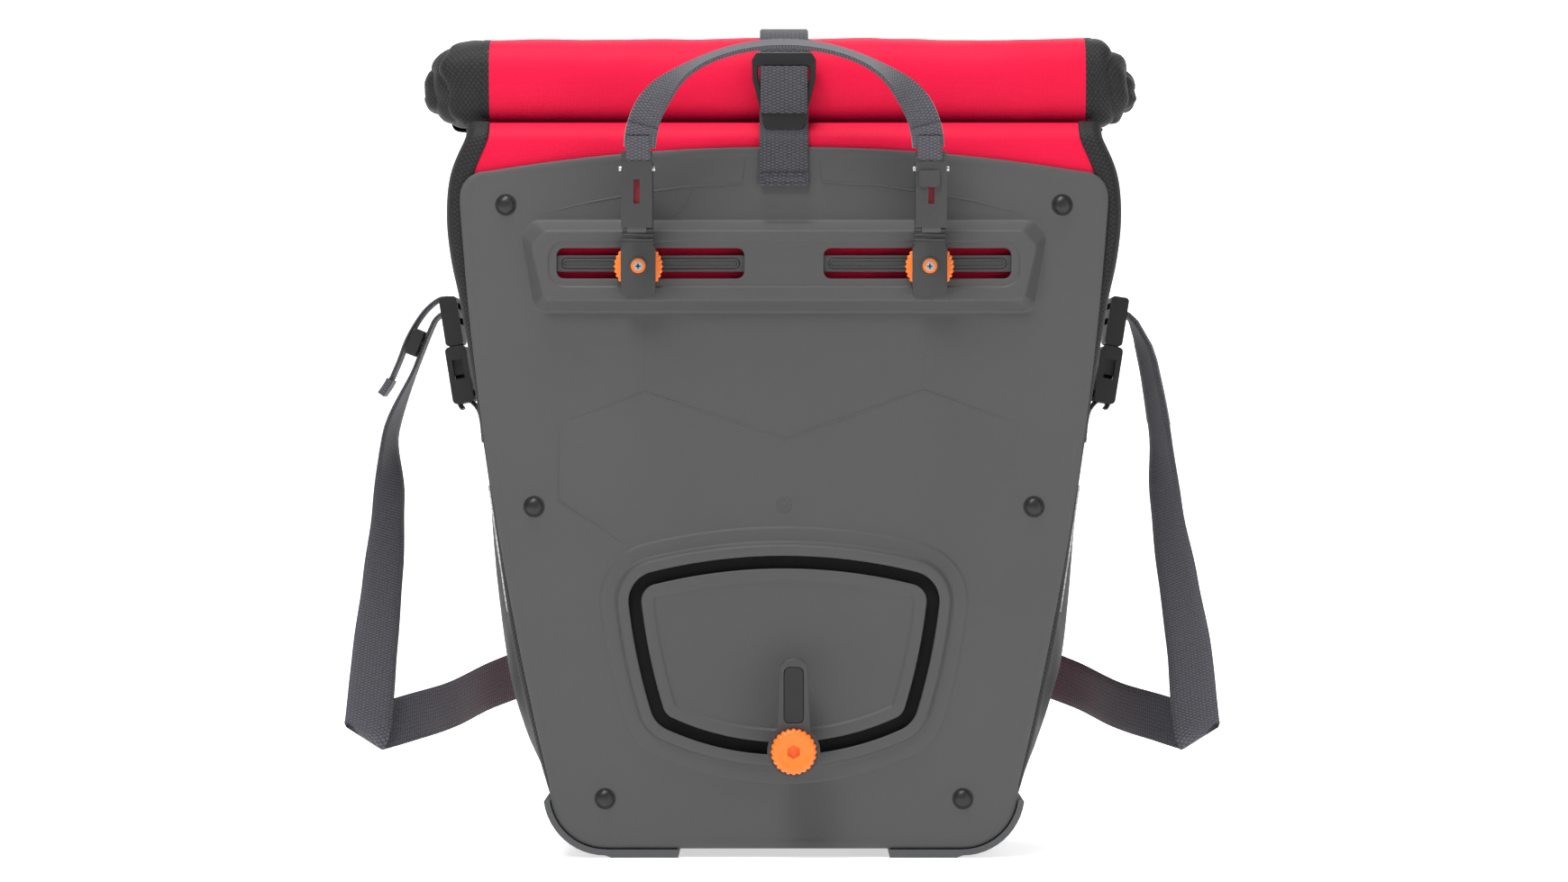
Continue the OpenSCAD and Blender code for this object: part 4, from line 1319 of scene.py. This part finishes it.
@dataclass
class BagShell:
    """The bag: red panels towards and away from the rack, dark gussets, sagging between its seams."""

    widths: tuple = ((7, 92), (10, 103), (14, 109), (24, 117), (40, 122.5), (60, 128), (107, 138.5), (162, 147),
                     (217, 155), (286, 166.5), (304, 170.5), (327, 173), (350, 171), (369, 163))
    depths: tuple = ((7, 146), (10, 154), (14, 158), (30, 168), (80, 182), (150, 186), (230, 184), (290, 170),
                     (327, 138), (350, 96), (369, 62))
    front: float = 3.45
    rows: int = 62
    pleat: float = 15.0
    cap: float = 11.0
    counts: tuple = (34, 6, 20, 12, 34, 12, 20, 6)
    line: list = field(default_factory=list)

    @staticmethod
    def value(table: Sequence[Pair], z: float) -> float:
        """Reads a table of (height, value) rows with smooth steps between them.

        Args:
            table: The rows, lowest first.
            z: The height to read at.

        Returns:
            The value there.
        """
        last = len(table) - 1
        i = max(0, min(last - 1, sum(1 for row in table if row[0] <= z) - 1))
        a, b = table[i], table[i + 1]
        before, after = table[max(0, i - 1)], table[min(last, i + 2)]
        t = max(0.0, min(1.0, (z - a[0]) / (b[0] - a[0])))
        span = b[0] - a[0]
        m0 = (b[1] - before[1]) / max(b[0] - before[0], 1e-6) * span
        m1 = (after[1] - a[1]) / max(after[0] - a[0], 1e-6) * span
        return (a[1] * (2 * t**3 - 3 * t**2 + 1) + m0 * (t**3 - 2 * t**2 + t)
                + b[1] * (-2 * t**3 + 3 * t**2) + m1 * (t**3 - t**2))

    def ring(self, z: float) -> list[Vector]:
        """One ring of the bag, from the left end of its front.

        Args:
            z: The ring's height in millimetres.

        Returns:
            Its points, in metres.
        """
        w, y0, y1 = self.value(self.widths, z), self.front, self.value(self.depths, z) - 0.5
        tuck = max(0.0, z - 366)
        y0 += 0.08 * tuck**2
        y1 -= 0.1 * tuck**2
        rf, rb = 6.5, min(44.0, (y1 - y0) * 0.42)
        fold = self.pleat * max(0.0, (z - 296) / 73) ** 1.6
        front, fr, side, br, back, bl, left, fl = self.counts

        def along(a: Pair, b: Pair, steps: int) -> list[Pair]:
            """Even steps from a up to, but without, b."""
            run = (b[0] - a[0], b[1] - a[1])
            return [(a[0] + run[0] * i / steps, a[1] + run[1] * i / steps) for i in range(steps)]

        def pulled(run: list[Pair], sign: int) -> list[Pair]:
            """A side pulled in between its corners by the fold."""
            arch = [math.sin(math.pi * i / len(run)) ** 1.3 for i in range(len(run))]
            return [(x - sign * fold * bend, y) for (x, y), bend in zip(run, arch)]

        points = along((-w + rf, y0), (w - rf, y0), front)
        points += arc((w - rf, y0 + rf), rf, -90, 0, fr)[:-1]
        points += pulled(along((w, y0 + rf), (w, y1 - rb), side), 1)
        points += arc((w - rb, y1 - rb), rb, 0, 90, br)[:-1]
        outer = along((w - rb, y1), (-w + rb, y1), back)
        points += [(x, y + 2.4 * (1 - (x / (w - rb + 1)) ** 2)) for x, y in outer]
        points += arc((-w + rb, y1 - rb), rb, 90, 180, bl)[:-1]
        points += pulled(along((-w, y1 - rb), (-w, y0 + rf), left), -1)
        points += arc((-w + rf, y0 + rf), rf, 180, 270, fl)[:-1]
        return [at(x, y, z) for x, y in points]

    def heights(self) -> list[float]:
        """The rings' heights, closer together near the floor."""
        body = [24 + (366 - 24) * i / self.rows for i in range(self.rows + 1)]
        return [7, 8.5, 11, 14, 18, *body, 368.5, 371, 373.5, 376]

    def held(self, point: Vector, index: int) -> float:
        """How firmly a point is held: by the plate, at the floor and mouth, and under the side clips.

        Args:
            point: The point, in metres.
            index: Its number in the shell; the first one is always held.

        Returns:
            A grip from 0, free, to 1, fixed.
        """
        x, y, z = point.x / MM, point.y / MM - FACE_MM, point.z / MM
        if y < self.front + 2 or index == 0:
            return 1.0
        grip = max(0.0, min(1.0, (64 - y) / 22))
        grip = max(grip, min(1.0, (26 - z) / 14), (z - 350) / 12)
        if 196 < z < 296 and abs(x) > 130 and y < 104:
            grip = max(grip, min(1.0, (104 - y) / 16))
        return max(0.0, min(1.0, grip))

    def sag(self, shell: bpy.types.Object) -> None:
        """Lets the cloth swell and settle between what holds it, and caps how far a point may move.

        Args:
            shell: The lofted shell.
        """
        before = [v.co.copy() for v in shell.data.vertices]
        group = shell.vertex_groups.new(name="held")
        grips = [self.held(co, i) for i, co in enumerate(before)]
        for i, grip in enumerate(grips):
            group.add([i], grip, "REPLACE")
        take(shell)
        cloth = shell.modifiers.new("cloth", "CLOTH")
        settings = cloth.settings
        settings.quality = 6
        settings.mass = 0.35
        settings.vertex_group_mass = "held"
        settings.tension_stiffness = settings.compression_stiffness = 22
        settings.shear_stiffness = 8
        settings.bending_stiffness = 1.2
        settings.use_pressure = True
        settings.uniform_pressure_force = 2.2
        settings.shrink_min = -0.018
        settings.effector_weights.gravity = 0.35
        cloth.collision_settings.use_self_collision = False
        scene = bpy.context.scene
        for number in range(1, 21):
            scene.frame_set(number)
        scene.frame_set(20)
        bpy.ops.object.modifier_apply(modifier=cloth.name)
        scene.frame_set(1)
        for vert, start, grip in zip(shell.data.vertices, before, grips):
            move = vert.co - start
            limit = self.cap * MM * (1 - grip)
            if move.length > limit:
                move *= limit / max(move.length, 1e-9)
            vert.co = start + move
        shell.vertex_groups.clear()

    def wrinkle(self, shell: bpy.types.Object) -> None:
        """Presses soft folds into the cloth, deeper towards the neck and round the lower corners.

        Args:
            shell: The shell after it has settled.
        """
        normals = [vert.normal.copy() for vert in shell.data.vertices]
        for vert, normal in zip(shell.data.vertices, normals):
            x, y, z = vert.co.x / MM, vert.co.y / MM - FACE_MM, vert.co.z / MM
            if y < 40:
                continue
            free = min(1.0, (y - 40) / 30) * max(0.0, min(1.0, (352 - z) / 20))
            neck = math.exp(-(((z - 322) / 34) ** 2))
            foot = math.exp(-(((z - 40) / 34) ** 2))
            wave = math.sin(x / 15 + 2.1 * math.sin(z / 37)) * 1.5 + math.sin(x / 7.3 - z / 21) * 0.6
            soft = noise.noise(Vector((x / 52, y / 52, z / 80))) * 3.2
            soft += noise.noise(Vector((x, y, z * 0.6)) / 23) * 1.1
            vert.co += normal * (wave * neck + soft * (0.45 + 0.4 * foot)) * free * MM * 0.9

    def build(self, finishes: Finishes) -> bpy.types.Object:
        """Makes the shell, with its dark gussets and base, and the tapes over its seams.

        Args:
            finishes: The bag's finishes.

        Returns:
            The shell.
        """
        rings = [self.ring(z) for z in self.heights()]
        shell = loft("bag_shell", rings)
        count = len(rings[0])
        front, fr, side, *_, left, fl = self.counts
        gusset = set(range(front, front + fr + side + 3))
        first = count - fl - left
        gusset |= set(range(first - 3, count))
        for _ in range(2):
            shell.data.materials.append(None)
        for face in shell.data.polygons:
            columns = [v % count for v in face.vertices]
            low = min(columns) if max(columns) - min(columns) < 3 else max(columns)
            dark = low in gusset or face.center.z < at(0, 0, 15).z or len(face.vertices) > 4
            face.material_index = int(dark)
        self.sag(shell)
        self.wrinkle(shell)
        subdivided(shell)
        for face in shell.data.polygons:
            if len(face.vertices) > 4:
                face.material_index = 1
        self.line = [v.co.copy() for v in shell.data.vertices]
        seams = [front, front + fr + side + 3, first - 3, 0]
        self.tape(shell, seams, count, len(rings), finishes)
        for polygon in shell.data.polygons:
            polygon.use_smooth = True
        place(shell, "bag", "red_tarpaulin", finishes.red, finishes.charcoal)
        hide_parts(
            "rack_panel", "outer_panel", "shoulder_panel", "corner_left", "corner_right",
            "corner_left_top", "corner_right_top", "gusset_left", "gusset_right", "bag_base",
        )
        return shell

    @staticmethod
    def tape(shell: bpy.types.Object, seams: Sequence[int], count: int, rows: int, finishes: Finishes) -> None:
        """Welds a flat tape over each upright seam.

        Args:
            shell: The finished shell.
            seams: The ring columns that the seams follow.
            count: Points in a ring.
            rows: How many rings there are.
            finishes: The bag's finishes.
        """
        tapes = []
        for column in seams:
            line = [shell.data.vertices[row * count + column % count] for row in range(2, rows)]
            centres = [v.co + v.normal * 0.35 * MM for v in line]
            outs = [v.normal.copy() for v in line]
            wides = []
            for i, out in enumerate(outs):
                run = (centres[min(i + 1, len(centres) - 1)] - centres[max(i - 1, 0)]).normalized()
                wides.append(run.cross(out))
            tapes.append(ribbon("seam_tape", centres, wides, 9, 0.9, 4))
        place(join("seam_tapes", tapes), "bag", "charcoal_fabric", finishes.charcoal)

    def back_at(self, z: float) -> float:
        """How far back the shell reaches at height z near the middle, in millimetres from the plate's face."""
        near = [p.y / MM - FACE_MM for p in self.line if abs(p.z / MM - z) < 4 and abs(p.x / MM) < 16]
        return max(near)


# ---- roll ------------------------------------------------------------------------------------------


@dataclass
class RollTop:
    """The mouth rolled up: a spiral of coated cloth, red between its dark ends."""

    centre: Pair = (38.5, 396.5)
    half_d: float = 29.0
    half_h: float = 27.5
    red: Pair = (-154.0, 157.5)
    power: float = 2.6

    def spiral(
        self, x: float, start: float, turns: float, scale: float, thick: float, seed: float
    ) -> list[Vector]:
        """One ring of the rolled sheet: out along the spiral's outer side and back along its inner side.

        Args:
            x: Where along the roll the ring stands.
            start: The angle of the sheet's outer edge, in degrees.
            turns: How many turns the sheet makes.
            scale: Size of the outer turn, 1 for the whole roll.
            thick: The sheet's drawn thickness in millimetres.
            seed: Which folds it shows.

        Returns:
            The ring's points.
        """
        steps = int(34 * turns)
        outer, inner = [], []
        for i in range(steps + 1):
            t = i / steps
            a = math.radians(start + 360 * turns * t)
            c, s = math.cos(a), math.sin(a)
            q = (abs(c) ** self.power + abs(s) ** self.power) ** (-1 / self.power)
            shrink = scale * (1 - 0.16 * turns * t) - 0.012 * max(0, 1 - t * 8)
            fold = noise.noise(Vector((x / 46 + seed, c * 1.2 + seed, s * 1.2 + turns * t))) * 1.2
            fold += noise.noise(Vector((x / 13, c * 2.4 + seed, s * 2.4))) * 0.35
            for line, off in ((outer, fold), (inner, fold - thick)):
                line.append(at(x, self.centre[0] + q * c * (self.half_d * shrink + off - 0.9),
                               self.centre[1] + q * s * (self.half_h * shrink + off - 0.9)))
        return outer + inner[::-1]

    def crumpled(
        self, name: str, spots: Sequence[Pair], seed: float, turns: float, drop: float
    ) -> bpy.types.Object:
        """A rolled end of the dark cloth, pinched smaller as it runs out.

        Args:
            name: The piece's name.
            spots: Where the rings stand along the roll, and how large each is.
            seed: Which folds it shows.
            turns: How many turns it has.
            drop: How far its outer end hangs below the roll's middle, in millimetres.

        Returns:
            The new piece.
        """
        rings = []
        start, end = spots[0][0], spots[-1][0]
        for x, scale in spots:
            free, calm = (x - start) / (end - start), min(1.0, 1.3 * scale)
            middle = at(x, *self.centre)
            rough = []
            for point in self.spiral(x, -70 + seed * 40, turns, scale, 1.5, seed):
                way = (point - middle).normalized()
                pull = noise.noise(Vector((x / 9 + seed, way.y * 2.4, way.z * 2.4))) * 2.4 * (0.4 + free) * calm
                slide = noise.noise(Vector((seed * 3, way.y * 1.3, way.z * 1.3))) * 7 * free * calm
                rough.append(point + (way * pull + Vector((slide, 0, -drop * free))) * MM)
            rings.append(rough)
        piece = loft(name, rings)
        return smooth(subdivided(piece), 55)

    def build(self, finishes: Finishes) -> None:
        """Makes the red roll and its dark ends, and dresses the stiffener and the base board.

        Args:
            finishes: The bag's finishes.
        """
        x0, x1 = self.red
        xs = [x0 + (x1 - x0) * i / 44 for i in range(45)]
        roll = loft("rolled_mouth", [self.spiral(x, -62, 1.9, 1.0, 1.3, 0.0) for x in xs])
        place(smooth(roll, 50), "bag", "red_tarpaulin", finishes.red)
        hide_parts("roll_top")
        ends = {
            "left": (((-153.5, 0.985), (-160, 0.985), (-166, 0.97), (-170.5, 0.94), (-173, 0.84),
                      (-173.6, 0.7)),
                     ((-158, 0.84), (-168, 0.84), (-174, 0.8), (-178.5, 0.7), (-180.5, 0.55), (-181, 0.4)),
                     ((-160, 0.48), (-172, 0.52), (-180, 0.5), (-184.5, 0.42), (-186.0, 0.28))),
            "right": (((157, 0.985), (162, 0.985), (165.5, 0.965), (168, 0.9), (168.8, 0.76)),
                      ((160, 0.82), (168, 0.81), (173, 0.76), (175.5, 0.64), (176.2, 0.48)),
                      ((160, 0.42), (172, 0.48), (178, 0.44), (181, 0.34), (181.8, 0.22))),
        }
        for side, layers in ends.items():
            sign = -1 if side == "left" else 1
            pieces = [
                self.crumpled(f"roll_end_{side}", spots, 1.3 * k + (0.7 if sign > 0 else 0.0), turns, drop)
                for k, (spots, turns, drop) in enumerate(zip(layers, (1.5, 1.25, 1.1), (0.0, 2.0, 4.0)))
            ]
            end = place(join(f"rolled_end_{side}", pieces), "bag", "charcoal_fabric", finishes.charcoal)
            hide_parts(f"roll_end_{side}")
            edges = (x0 - 1, x0 + 2.5) if sign < 0 else (x1 - 2.5, x1 + 1)
            sewn = [self.spiral(x, -62, 1.02, 1.005, 1.4, 0.0) for x in edges]
            place(smooth(loft(f"roll_seam_{side}", sewn), 50), "bag", "charcoal_fabric", finishes.charcoal)
        dress(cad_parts["roll_stiffener"], finishes.lining)
        dress(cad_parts["base_board"], finishes.lining)


# ---- top hooks -------------------------------------------------------------------------------------


@dataclass
class TopHook:
    """One sliding hook with its latch, flag, clamp screw and thumbwheel."""

    side: Side
    x: float = 74.0
    wheel_r: float = 12.4
    wheel_y: Pair = (-12.7, -8.7)
    screw_z: float = 301.5
    teeth: int = 30

    def wheel(self, finishes: Finishes) -> None:
        """Makes the thumbwheel, with rounded knurls round its edge.

        Args:
            finishes: The bag's finishes.
        """
        x = self.side.value * self.x
        y0, y1 = self.wheel_y
        rings = []
        profile = ((y0, 1.6), (y0 + 0.15, 0.9), (y0 + 0.8, 0.0), (y1 - 0.8, 0.0), (y1 - 0.15, 0.9), (y1, 1.6))
        for y, inset in profile:
            ring = []
            for i in range(self.teeth * 6):
                a = 2 * math.pi * i / (self.teeth * 6)
                knurl = 0.75 * (0.5 - 0.5 * math.cos(a * self.teeth)) ** 2 * (1 if inset < 1 else 0.3)
                r = self.wheel_r - inset - knurl
                ring.append(at(x + r * math.cos(a), y, self.screw_z + r * math.sin(a)))
            rings.append(ring)
        wheel = smooth(loft("wheel", rings), 35)
        barrel = [(1.7, -17.0), (1.9, -17.3), (3.6, -17.3), (3.9, -17.0), (3.95, -12.5)]
        hub = lathe("hub", barrel, at(x, 0, self.screw_z))
        whole = join(f"thumbwheel_{self.side.word}_knurled", [wheel, hub])
        place(whole, f"{self.side.word}_wheel", "orange_plastic", finishes.orange)
        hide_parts(f"thumbwheel_{self.side.word}")

    def build(self, finishes: Finishes) -> None:
        """Dresses the hook's mouldings and adds what the frame's solids lack.

        Args:
            finishes: The bag's finishes.
        """
        word, x = self.side.word, self.side.value * self.x
        hook, latch = f"{word}_hook", f"{word}_latch"
        place(refined(f"hook_body_{word}", 0.55, 3), hook, "dark_plastic", finishes.hook)
        place(refined(f"latch_{word}", 1.2, 3), latch, "black_plastic", finishes.hook)
        place(refined(f"slide_shoe_{word}", 0.4, 2), hook, "dark_plastic", finishes.black)
        place(refined(f"clamp_screw_{word}", 0.18, 2), hook, "bright_steel", finishes.steel)
        place(refined(f"latch_pin_{word}", 0.35, 2), latch, "bright_steel", finishes.steel)
        dress(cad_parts[f"hook_liner_{word}"], finishes.black)
        dress(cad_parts[f"latch_flag_{word}"], finishes.flag)
        self.wheel(finishes)
        # the round well that the screw's head sits in, with the wheel's hub showing in it
        well = [(4.9, -17.05), (4.75, -17.5), (4.3, -17.6), (3.9, -17.5), (3.75, -17.05)]
        place(lathe(f"screw_well_{word}", well, at(x, 0, self.screw_z)), hook, "dark_plastic", finishes.hook)
        ribs = [self.rib([(x - 8.3, z), (x + 8.3, z)]) for z in (315.0, 317.4, 319.8)]
        place(join(f"neck_ribs_{word}", ribs), hook, "dark_plastic", finishes.hook)
        if self.side is Side.RIGHT:
            self.clip(finishes)

    @staticmethod
    def rib(bar: Sequence[Pair]) -> bpy.types.Object:
        """A rounded bar across the hook's neck."""
        (x0, z), (x1, _) = bar
        rings = []
        for x, k in ((x0, 0.4), (x0 + 0.6, 1.0), (x1 - 0.6, 1.0), (x1, 0.4)):
            rings.append([at(x, -16.9 - max(-0.3, math.sin(a)) * 1.1 * k, z + math.cos(a) * 0.62 * k)
                          for a in (2 * math.pi * i / 12 for i in range(12))])
        return smooth(loft("rib", rings), 50)

    def clip(self, finishes: Finishes) -> None:
        """Adds the square tab that locks the right latch."""
        x = self.x
        corners = [(x - 6.2, 340.2), (x + 4.2, 340.2), (x + 4.2, 348.6), (x - 6.2, 348.6)]
        steps = ((-41.0, 0), (-42.4, 0), (-42.75, 0.5))
        rings = [upright(rounded(corners, 1.2 - d * 0.5, 4), y) for y, d in steps]
        tab = smooth(loft("latch_tab", rings), 40)
        place(tab, "right_latch", "black_plastic", finishes.hook)


# ---- lower hook ------------------------------------------------------------------------------------


@dataclass
class StayHook:
    """The arm that swings out behind a rack's stay, on a shoe in the groove, clamped by a knob."""

    knob_r: float = 11.6
    knob_y: Pair = (-36.0, -28.4)
    teeth: int = 24

    def knob(self, centre: Vector) -> bpy.types.Object:
        """The clamping knob: knurled edge, dished face and a hexagonal socket.

        Args:
            centre: The middle of the knob, in metres.

        Returns:
            The knob.
        """
        x, z = centre.x / MM, centre.z / MM
        front, back = self.knob_y
        profile = ((back, 0.9, 0.4), (back - 0.6, 0.0, 1.0), (front + 2.2, 0.0, 1.0), (front + 1.2, 0.35, 0.8),
                   (front + 0.4, 1.3, 0.3), (front, 2.6, 0.0), (front, 3.4, 0.0), (front + 0.35, 4.0, 0.0),
                   (front + 0.5, 6.0, 0.0))
        rings = []
        count = self.teeth * 6
        for y, inset, tooth in profile:
            ring = []
            for i in range(count):
                a = 2 * math.pi * i / count
                r = self.knob_r - inset - tooth * 0.8 * (0.5 - 0.5 * math.cos(a * self.teeth)) ** 2
                ring.append(at(x + r * math.cos(a), y, z + r * math.sin(a)))
            rings.append(ring)
        for y, r in ((front + 0.5, 3.6), (front + 0.8, 3.3), (front + 3.6, 3.2)):
            ring = []
            for i in range(count):
                a = 2 * math.pi * i / count
                sector = (a + math.pi / 6) % (math.pi / 3) - math.pi / 6
                flat = r * 0.9 / math.cos(sector)
                ring.append(at(x + flat * math.cos(a), y, z + flat * math.sin(a)))
            rings.append(ring)
        return smooth(loft("knob_knurled", rings), 35)

    def build(self, finishes: Finishes) -> None:
        """Makes the knob and dresses the arm, its pad and the shoe.

        Args:
            finishes: The bag's finishes.
        """
        low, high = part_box("knob")
        knob = place(self.knob((low + high) / 2), "stay_knob", "orange_plastic", finishes.orange)
        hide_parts("knob")
        place(refined("stay_arm", 0.9, 3, 30), "stay_lever", "dark_plastic", finishes.hook)
        place(refined("arm_pad", 0.3, 2), "stay_lever", "black_plastic", finishes.black)
        place(refined("groove_shoe", 0.3, 2), "stay_carriage", "bright_steel", finishes.steel)


# ---- webbing ---------------------------------------------------------------------------------------


@dataclass
class CarryHandle:
    """The webbing handle: sewn round each latch's bar, arched over the roll."""

    half: float = 72.5
    y: float = -39.4
    foot_z: float = 360.4
    rise: float = 52.0
    width: float = 16.0
    thick: float = 2.0

    def arch(self, a: float) -> tuple[Vector, Vector]:
        """A point of the arch and the direction of its width there; a runs from 0 at the left to pi."""
        c, s = math.cos(a), max(math.sin(a), 0.0)
        flat = 1 - abs(c) ** 2.2
        spot = at(-self.half * c * (1 - 0.05 * s), self.y, self.foot_z + self.rise * s**0.86)
        return spot, Vector((c * abs(c) ** 3, -1.2 * flat, -0.36 * flat)).normalized()

    def build(self, finishes: Finishes) -> None:
        """Makes both halves of the arch and the sewn ends on the latches.

        Args:
            finishes: The bag's finishes.
        """
        for side in Side:
            start, end = (0.0, math.pi / 2) if side is Side.LEFT else (math.pi, math.pi / 2)
            spots = [self.arch(start + (end - start) * i / 34) for i in range(35)]
            centres, wides = zip(*spots)
            half = ribbon(f"carry_handle_{side.word}", centres, wides, self.width, self.thick)
            place(half, "", "grey_webbing", finishes.webbing)
            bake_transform(half)
            self.end(side, finishes)
        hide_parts("carry_handle")

    def end(self, side: Side, finishes: Finishes) -> None:
        """Makes the doubled end that goes round the latch's bar, with its stitching.

        Args:
            side: The side that the latch is on.
            finishes: The bag's finishes.
        """
        x = side.value * 73.2
        wide = Vector((1, 0, 0))
        path = ((1.9, 366.5), (1.9, 360.5), (1.75, 357.2), (0.9, 354.7), (-0.6, 354.2), (-1.7, 355.4),
                (-2.1, 358), (-2.1, 366.0))
        line = [at(x, -39.6 + y, z) for y, z in path]
        turn = curve_through(line, 1.2)
        loop = ribbon(f"handle_end_{side.word}", turn, [wide] * len(turn), 12.6, 1.3)
        place(loop, f"{side.word}_latch", "grey_webbing", finishes.webbing)
        spots = [self.arch((0.0 if side is Side.LEFT else math.pi) + side.value * -0.02 * i) for i in range(9)]
        middles = [spot for spot, _ in spots]
        cuff = ribbon(f"handle_cuff_{side.word}", middles, [wide] * len(middles), self.width + 0.3, 4.6)
        place(cuff, "", "grey_webbing", finishes.webbing)
        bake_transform(cuff)
        out = Vector((0, -1, 0))
        box = ((-6, 362), (6, 362), (6, 366.4), (-6, 366.4), (-6, 362))
        seam = [at(x + dx, self.y - 2.4, z) for dx, z in box]
        sewing = stitches(f"handle_stitches_{side.word}", seam, out, 2.4, 0.5)
        place(sewing, f"{side.word}_hook", "grey_webbing", finishes.thread)


@dataclass
class Closure:
    """The strap over the roll, its buckle frame, and the hemmed tail that hangs on the plate."""

    width: float = 25.0
    thick: float = 1.5
    roll: RollTop = field(default_factory=RollTop)

    def over_roll(self, degrees: float, gap: float) -> Pair:
        """A point on the line round the roll, as depth and height."""
        y, z = self.roll.centre
        c, s = math.cos(math.radians(degrees)), math.sin(math.radians(degrees))
        q = (abs(c) ** self.roll.power + abs(s) ** self.roll.power) ** (-1 / self.roll.power)
        return y + q * c * (self.roll.half_d + gap), z + q * s * (self.roll.half_h + gap)

    @staticmethod
    def band(
        name: str, path: Sequence[Pair], finishes: Finishes, width: float, thick: float
    ) -> bpy.types.Object:
        """A band of webbing along a path in depth and height.

        Args:
            name: The band's name.
            path: Its corners, as depth and height in millimetres.
            finishes: The bag's finishes.
            width: Its width in millimetres.
            thick: Its thickness in millimetres.

        Returns:
            The new piece, on the bag.
        """
        line = curve_through([at(0, y, z) for y, z in path], 3)
        piece = ribbon(name, line, [Vector((1, 0, 0))] * len(line), width, thick, 10)
        return place(piece, "bag", "dark_webbing", finishes.dark_webbing)

    def build(self, finishes: Finishes, bag: BagShell) -> None:
        """Makes the strap, the tail, the buckle and their stitching.

        Args:
            finishes: The bag's finishes.
            bag: The finished shell, which the strap lies on.
        """
        heights = (236, 250, 264, 278, 290, 301, 312, 322, 332, 341, 350, 359)
        path = [(bag.back_at(z) + 1.4, z) for z in heights]
        y, z = self.roll.centre
        path += [(y + self.roll.half_d + 1.6, z - 20)]
        path += [self.over_roll(a, 1.3) for a in range(0, 190, 9)]
        strap = self.band("closure_strap_webbing", path, finishes, self.width, self.thick)
        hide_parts("closure_strap")
        tail_path = [self.over_roll(189, 1.3), self.over_roll(197, 1.3), (7.6, 383), (7.0, 377), (4.4, 372.4),
                     (2.9, 370.4), (2.0, 369.0), (0.4, 367.2), (-1.3, 364.6), (-1.5, 358), (-1.5, 343.4)]
        tail = self.band("closure_tail_webbing", tail_path, finishes, self.width, self.thick)
        hem = self.band("closure_hem", [(-3.05, 343.1), (-3.05, 349.2)], finishes, self.width, 1.5)
        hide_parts("closure_tail")
        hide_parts("closure_anchor")
        fold_path = [(1.2, 404.2), (0.4, 400), (0.2, 392), (0.9, 384), (2.0, 380.5)]
        self.band("closure_fold", fold_path, finishes, 24, 1.4)
        seam = [at(x, -3.9, z) for x, z in ((-11, 344.4), (11, 344.4), (11, 348), (-11, 348), (-11, 344.4))]
        sewing = stitches("closure_stitches", seam, Vector((0, -1, 0)), 2.6, 0.5)
        place(sewing, "bag", "dark_webbing", finishes.thread)
        place(refined("closure_buckle", 0.8, 3, 30), "closure_frame", "black_plastic", finishes.black)


@dataclass
class SideClip:
    """One side-release clip: the half that stays on the bag, the half that pulls out, and the sewn tab."""

    side: Side

    def build(self, finishes: Finishes) -> None:
        """Dresses both halves and sews the tab.

        Args:
            finishes: The bag's finishes.
        """
        word, sign = self.side.word, self.side.value
        place(refined(f"buckle_female_{word}", 0.9, 3), "bag", "black_plastic", finishes.black)
        place(refined(f"buckle_male_{word}", 0.9, 3), f"{word}_clip", "black_plastic", finishes.black)
        line = curve_through([at(sign * x, 60, z) for x, z in
                              ((156.6, 212), (157.6, 222), (159.4, 229), (163.6, 233.6), (167.2, 234.6),
                               (169.4, 232.4), (167.6, 229.4))], 2)
        tab = ribbon(f"side_tab_{word}_webbing", line, [Vector((0, 1, 0))] * len(line), 25, 1.5)
        place(tab, "bag", "dark_webbing", finishes.dark_webbing)
        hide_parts(f"side_tab_{word}")
        seam = [at(sign * 157.7, y, z) for y, z in ((49, 214), (71, 214), (71, 219), (49, 219), (49, 214))]
        sewing = stitches(f"side_tab_{word}_stitches", seam, Vector((sign, 0, 0)), 2.6, 0.5)
        place(sewing, "bag", "dark_webbing", finishes.thread)


@dataclass
class Guards:
    """The corner bumpers with their foot pads, and the reflective patches on the sides."""

    def build(self, finishes: Finishes) -> None:
        """Dresses both sides."""
        for side in Side:
            place(refined(f"guard_{side.word}", 0.8, 3, 30), "bag", "guard_plastic", finishes.guard)
            dress(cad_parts[f"reflector_{side.word}"], finishes.film)


# ---- the whole -------------------------------------------------------------------------------------


def main() -> None:
    """Builds the studio and every piece."""
    logging.basicConfig(level=logging.INFO, format="%(name)s: %(message)s")
    studio = Studio()
    studio.camera()
    finishes = Finishes()
    ShoulderStrap().build(finishes)
    BackPlate().build(finishes)
    bag = BagShell()
    bag.build(finishes)
    RollTop().build(finishes)
    for side in Side:
        TopHook(side).build(finishes)
        SideClip(side).build(finishes)
    StayHook().build(finishes)
    CarryHandle().build(finishes)
    Closure().build(finishes, bag)
    Guards().build(finishes)
    studio.ground()
    studio.lights()
    rest()


if __name__ == "__main__":
    main()
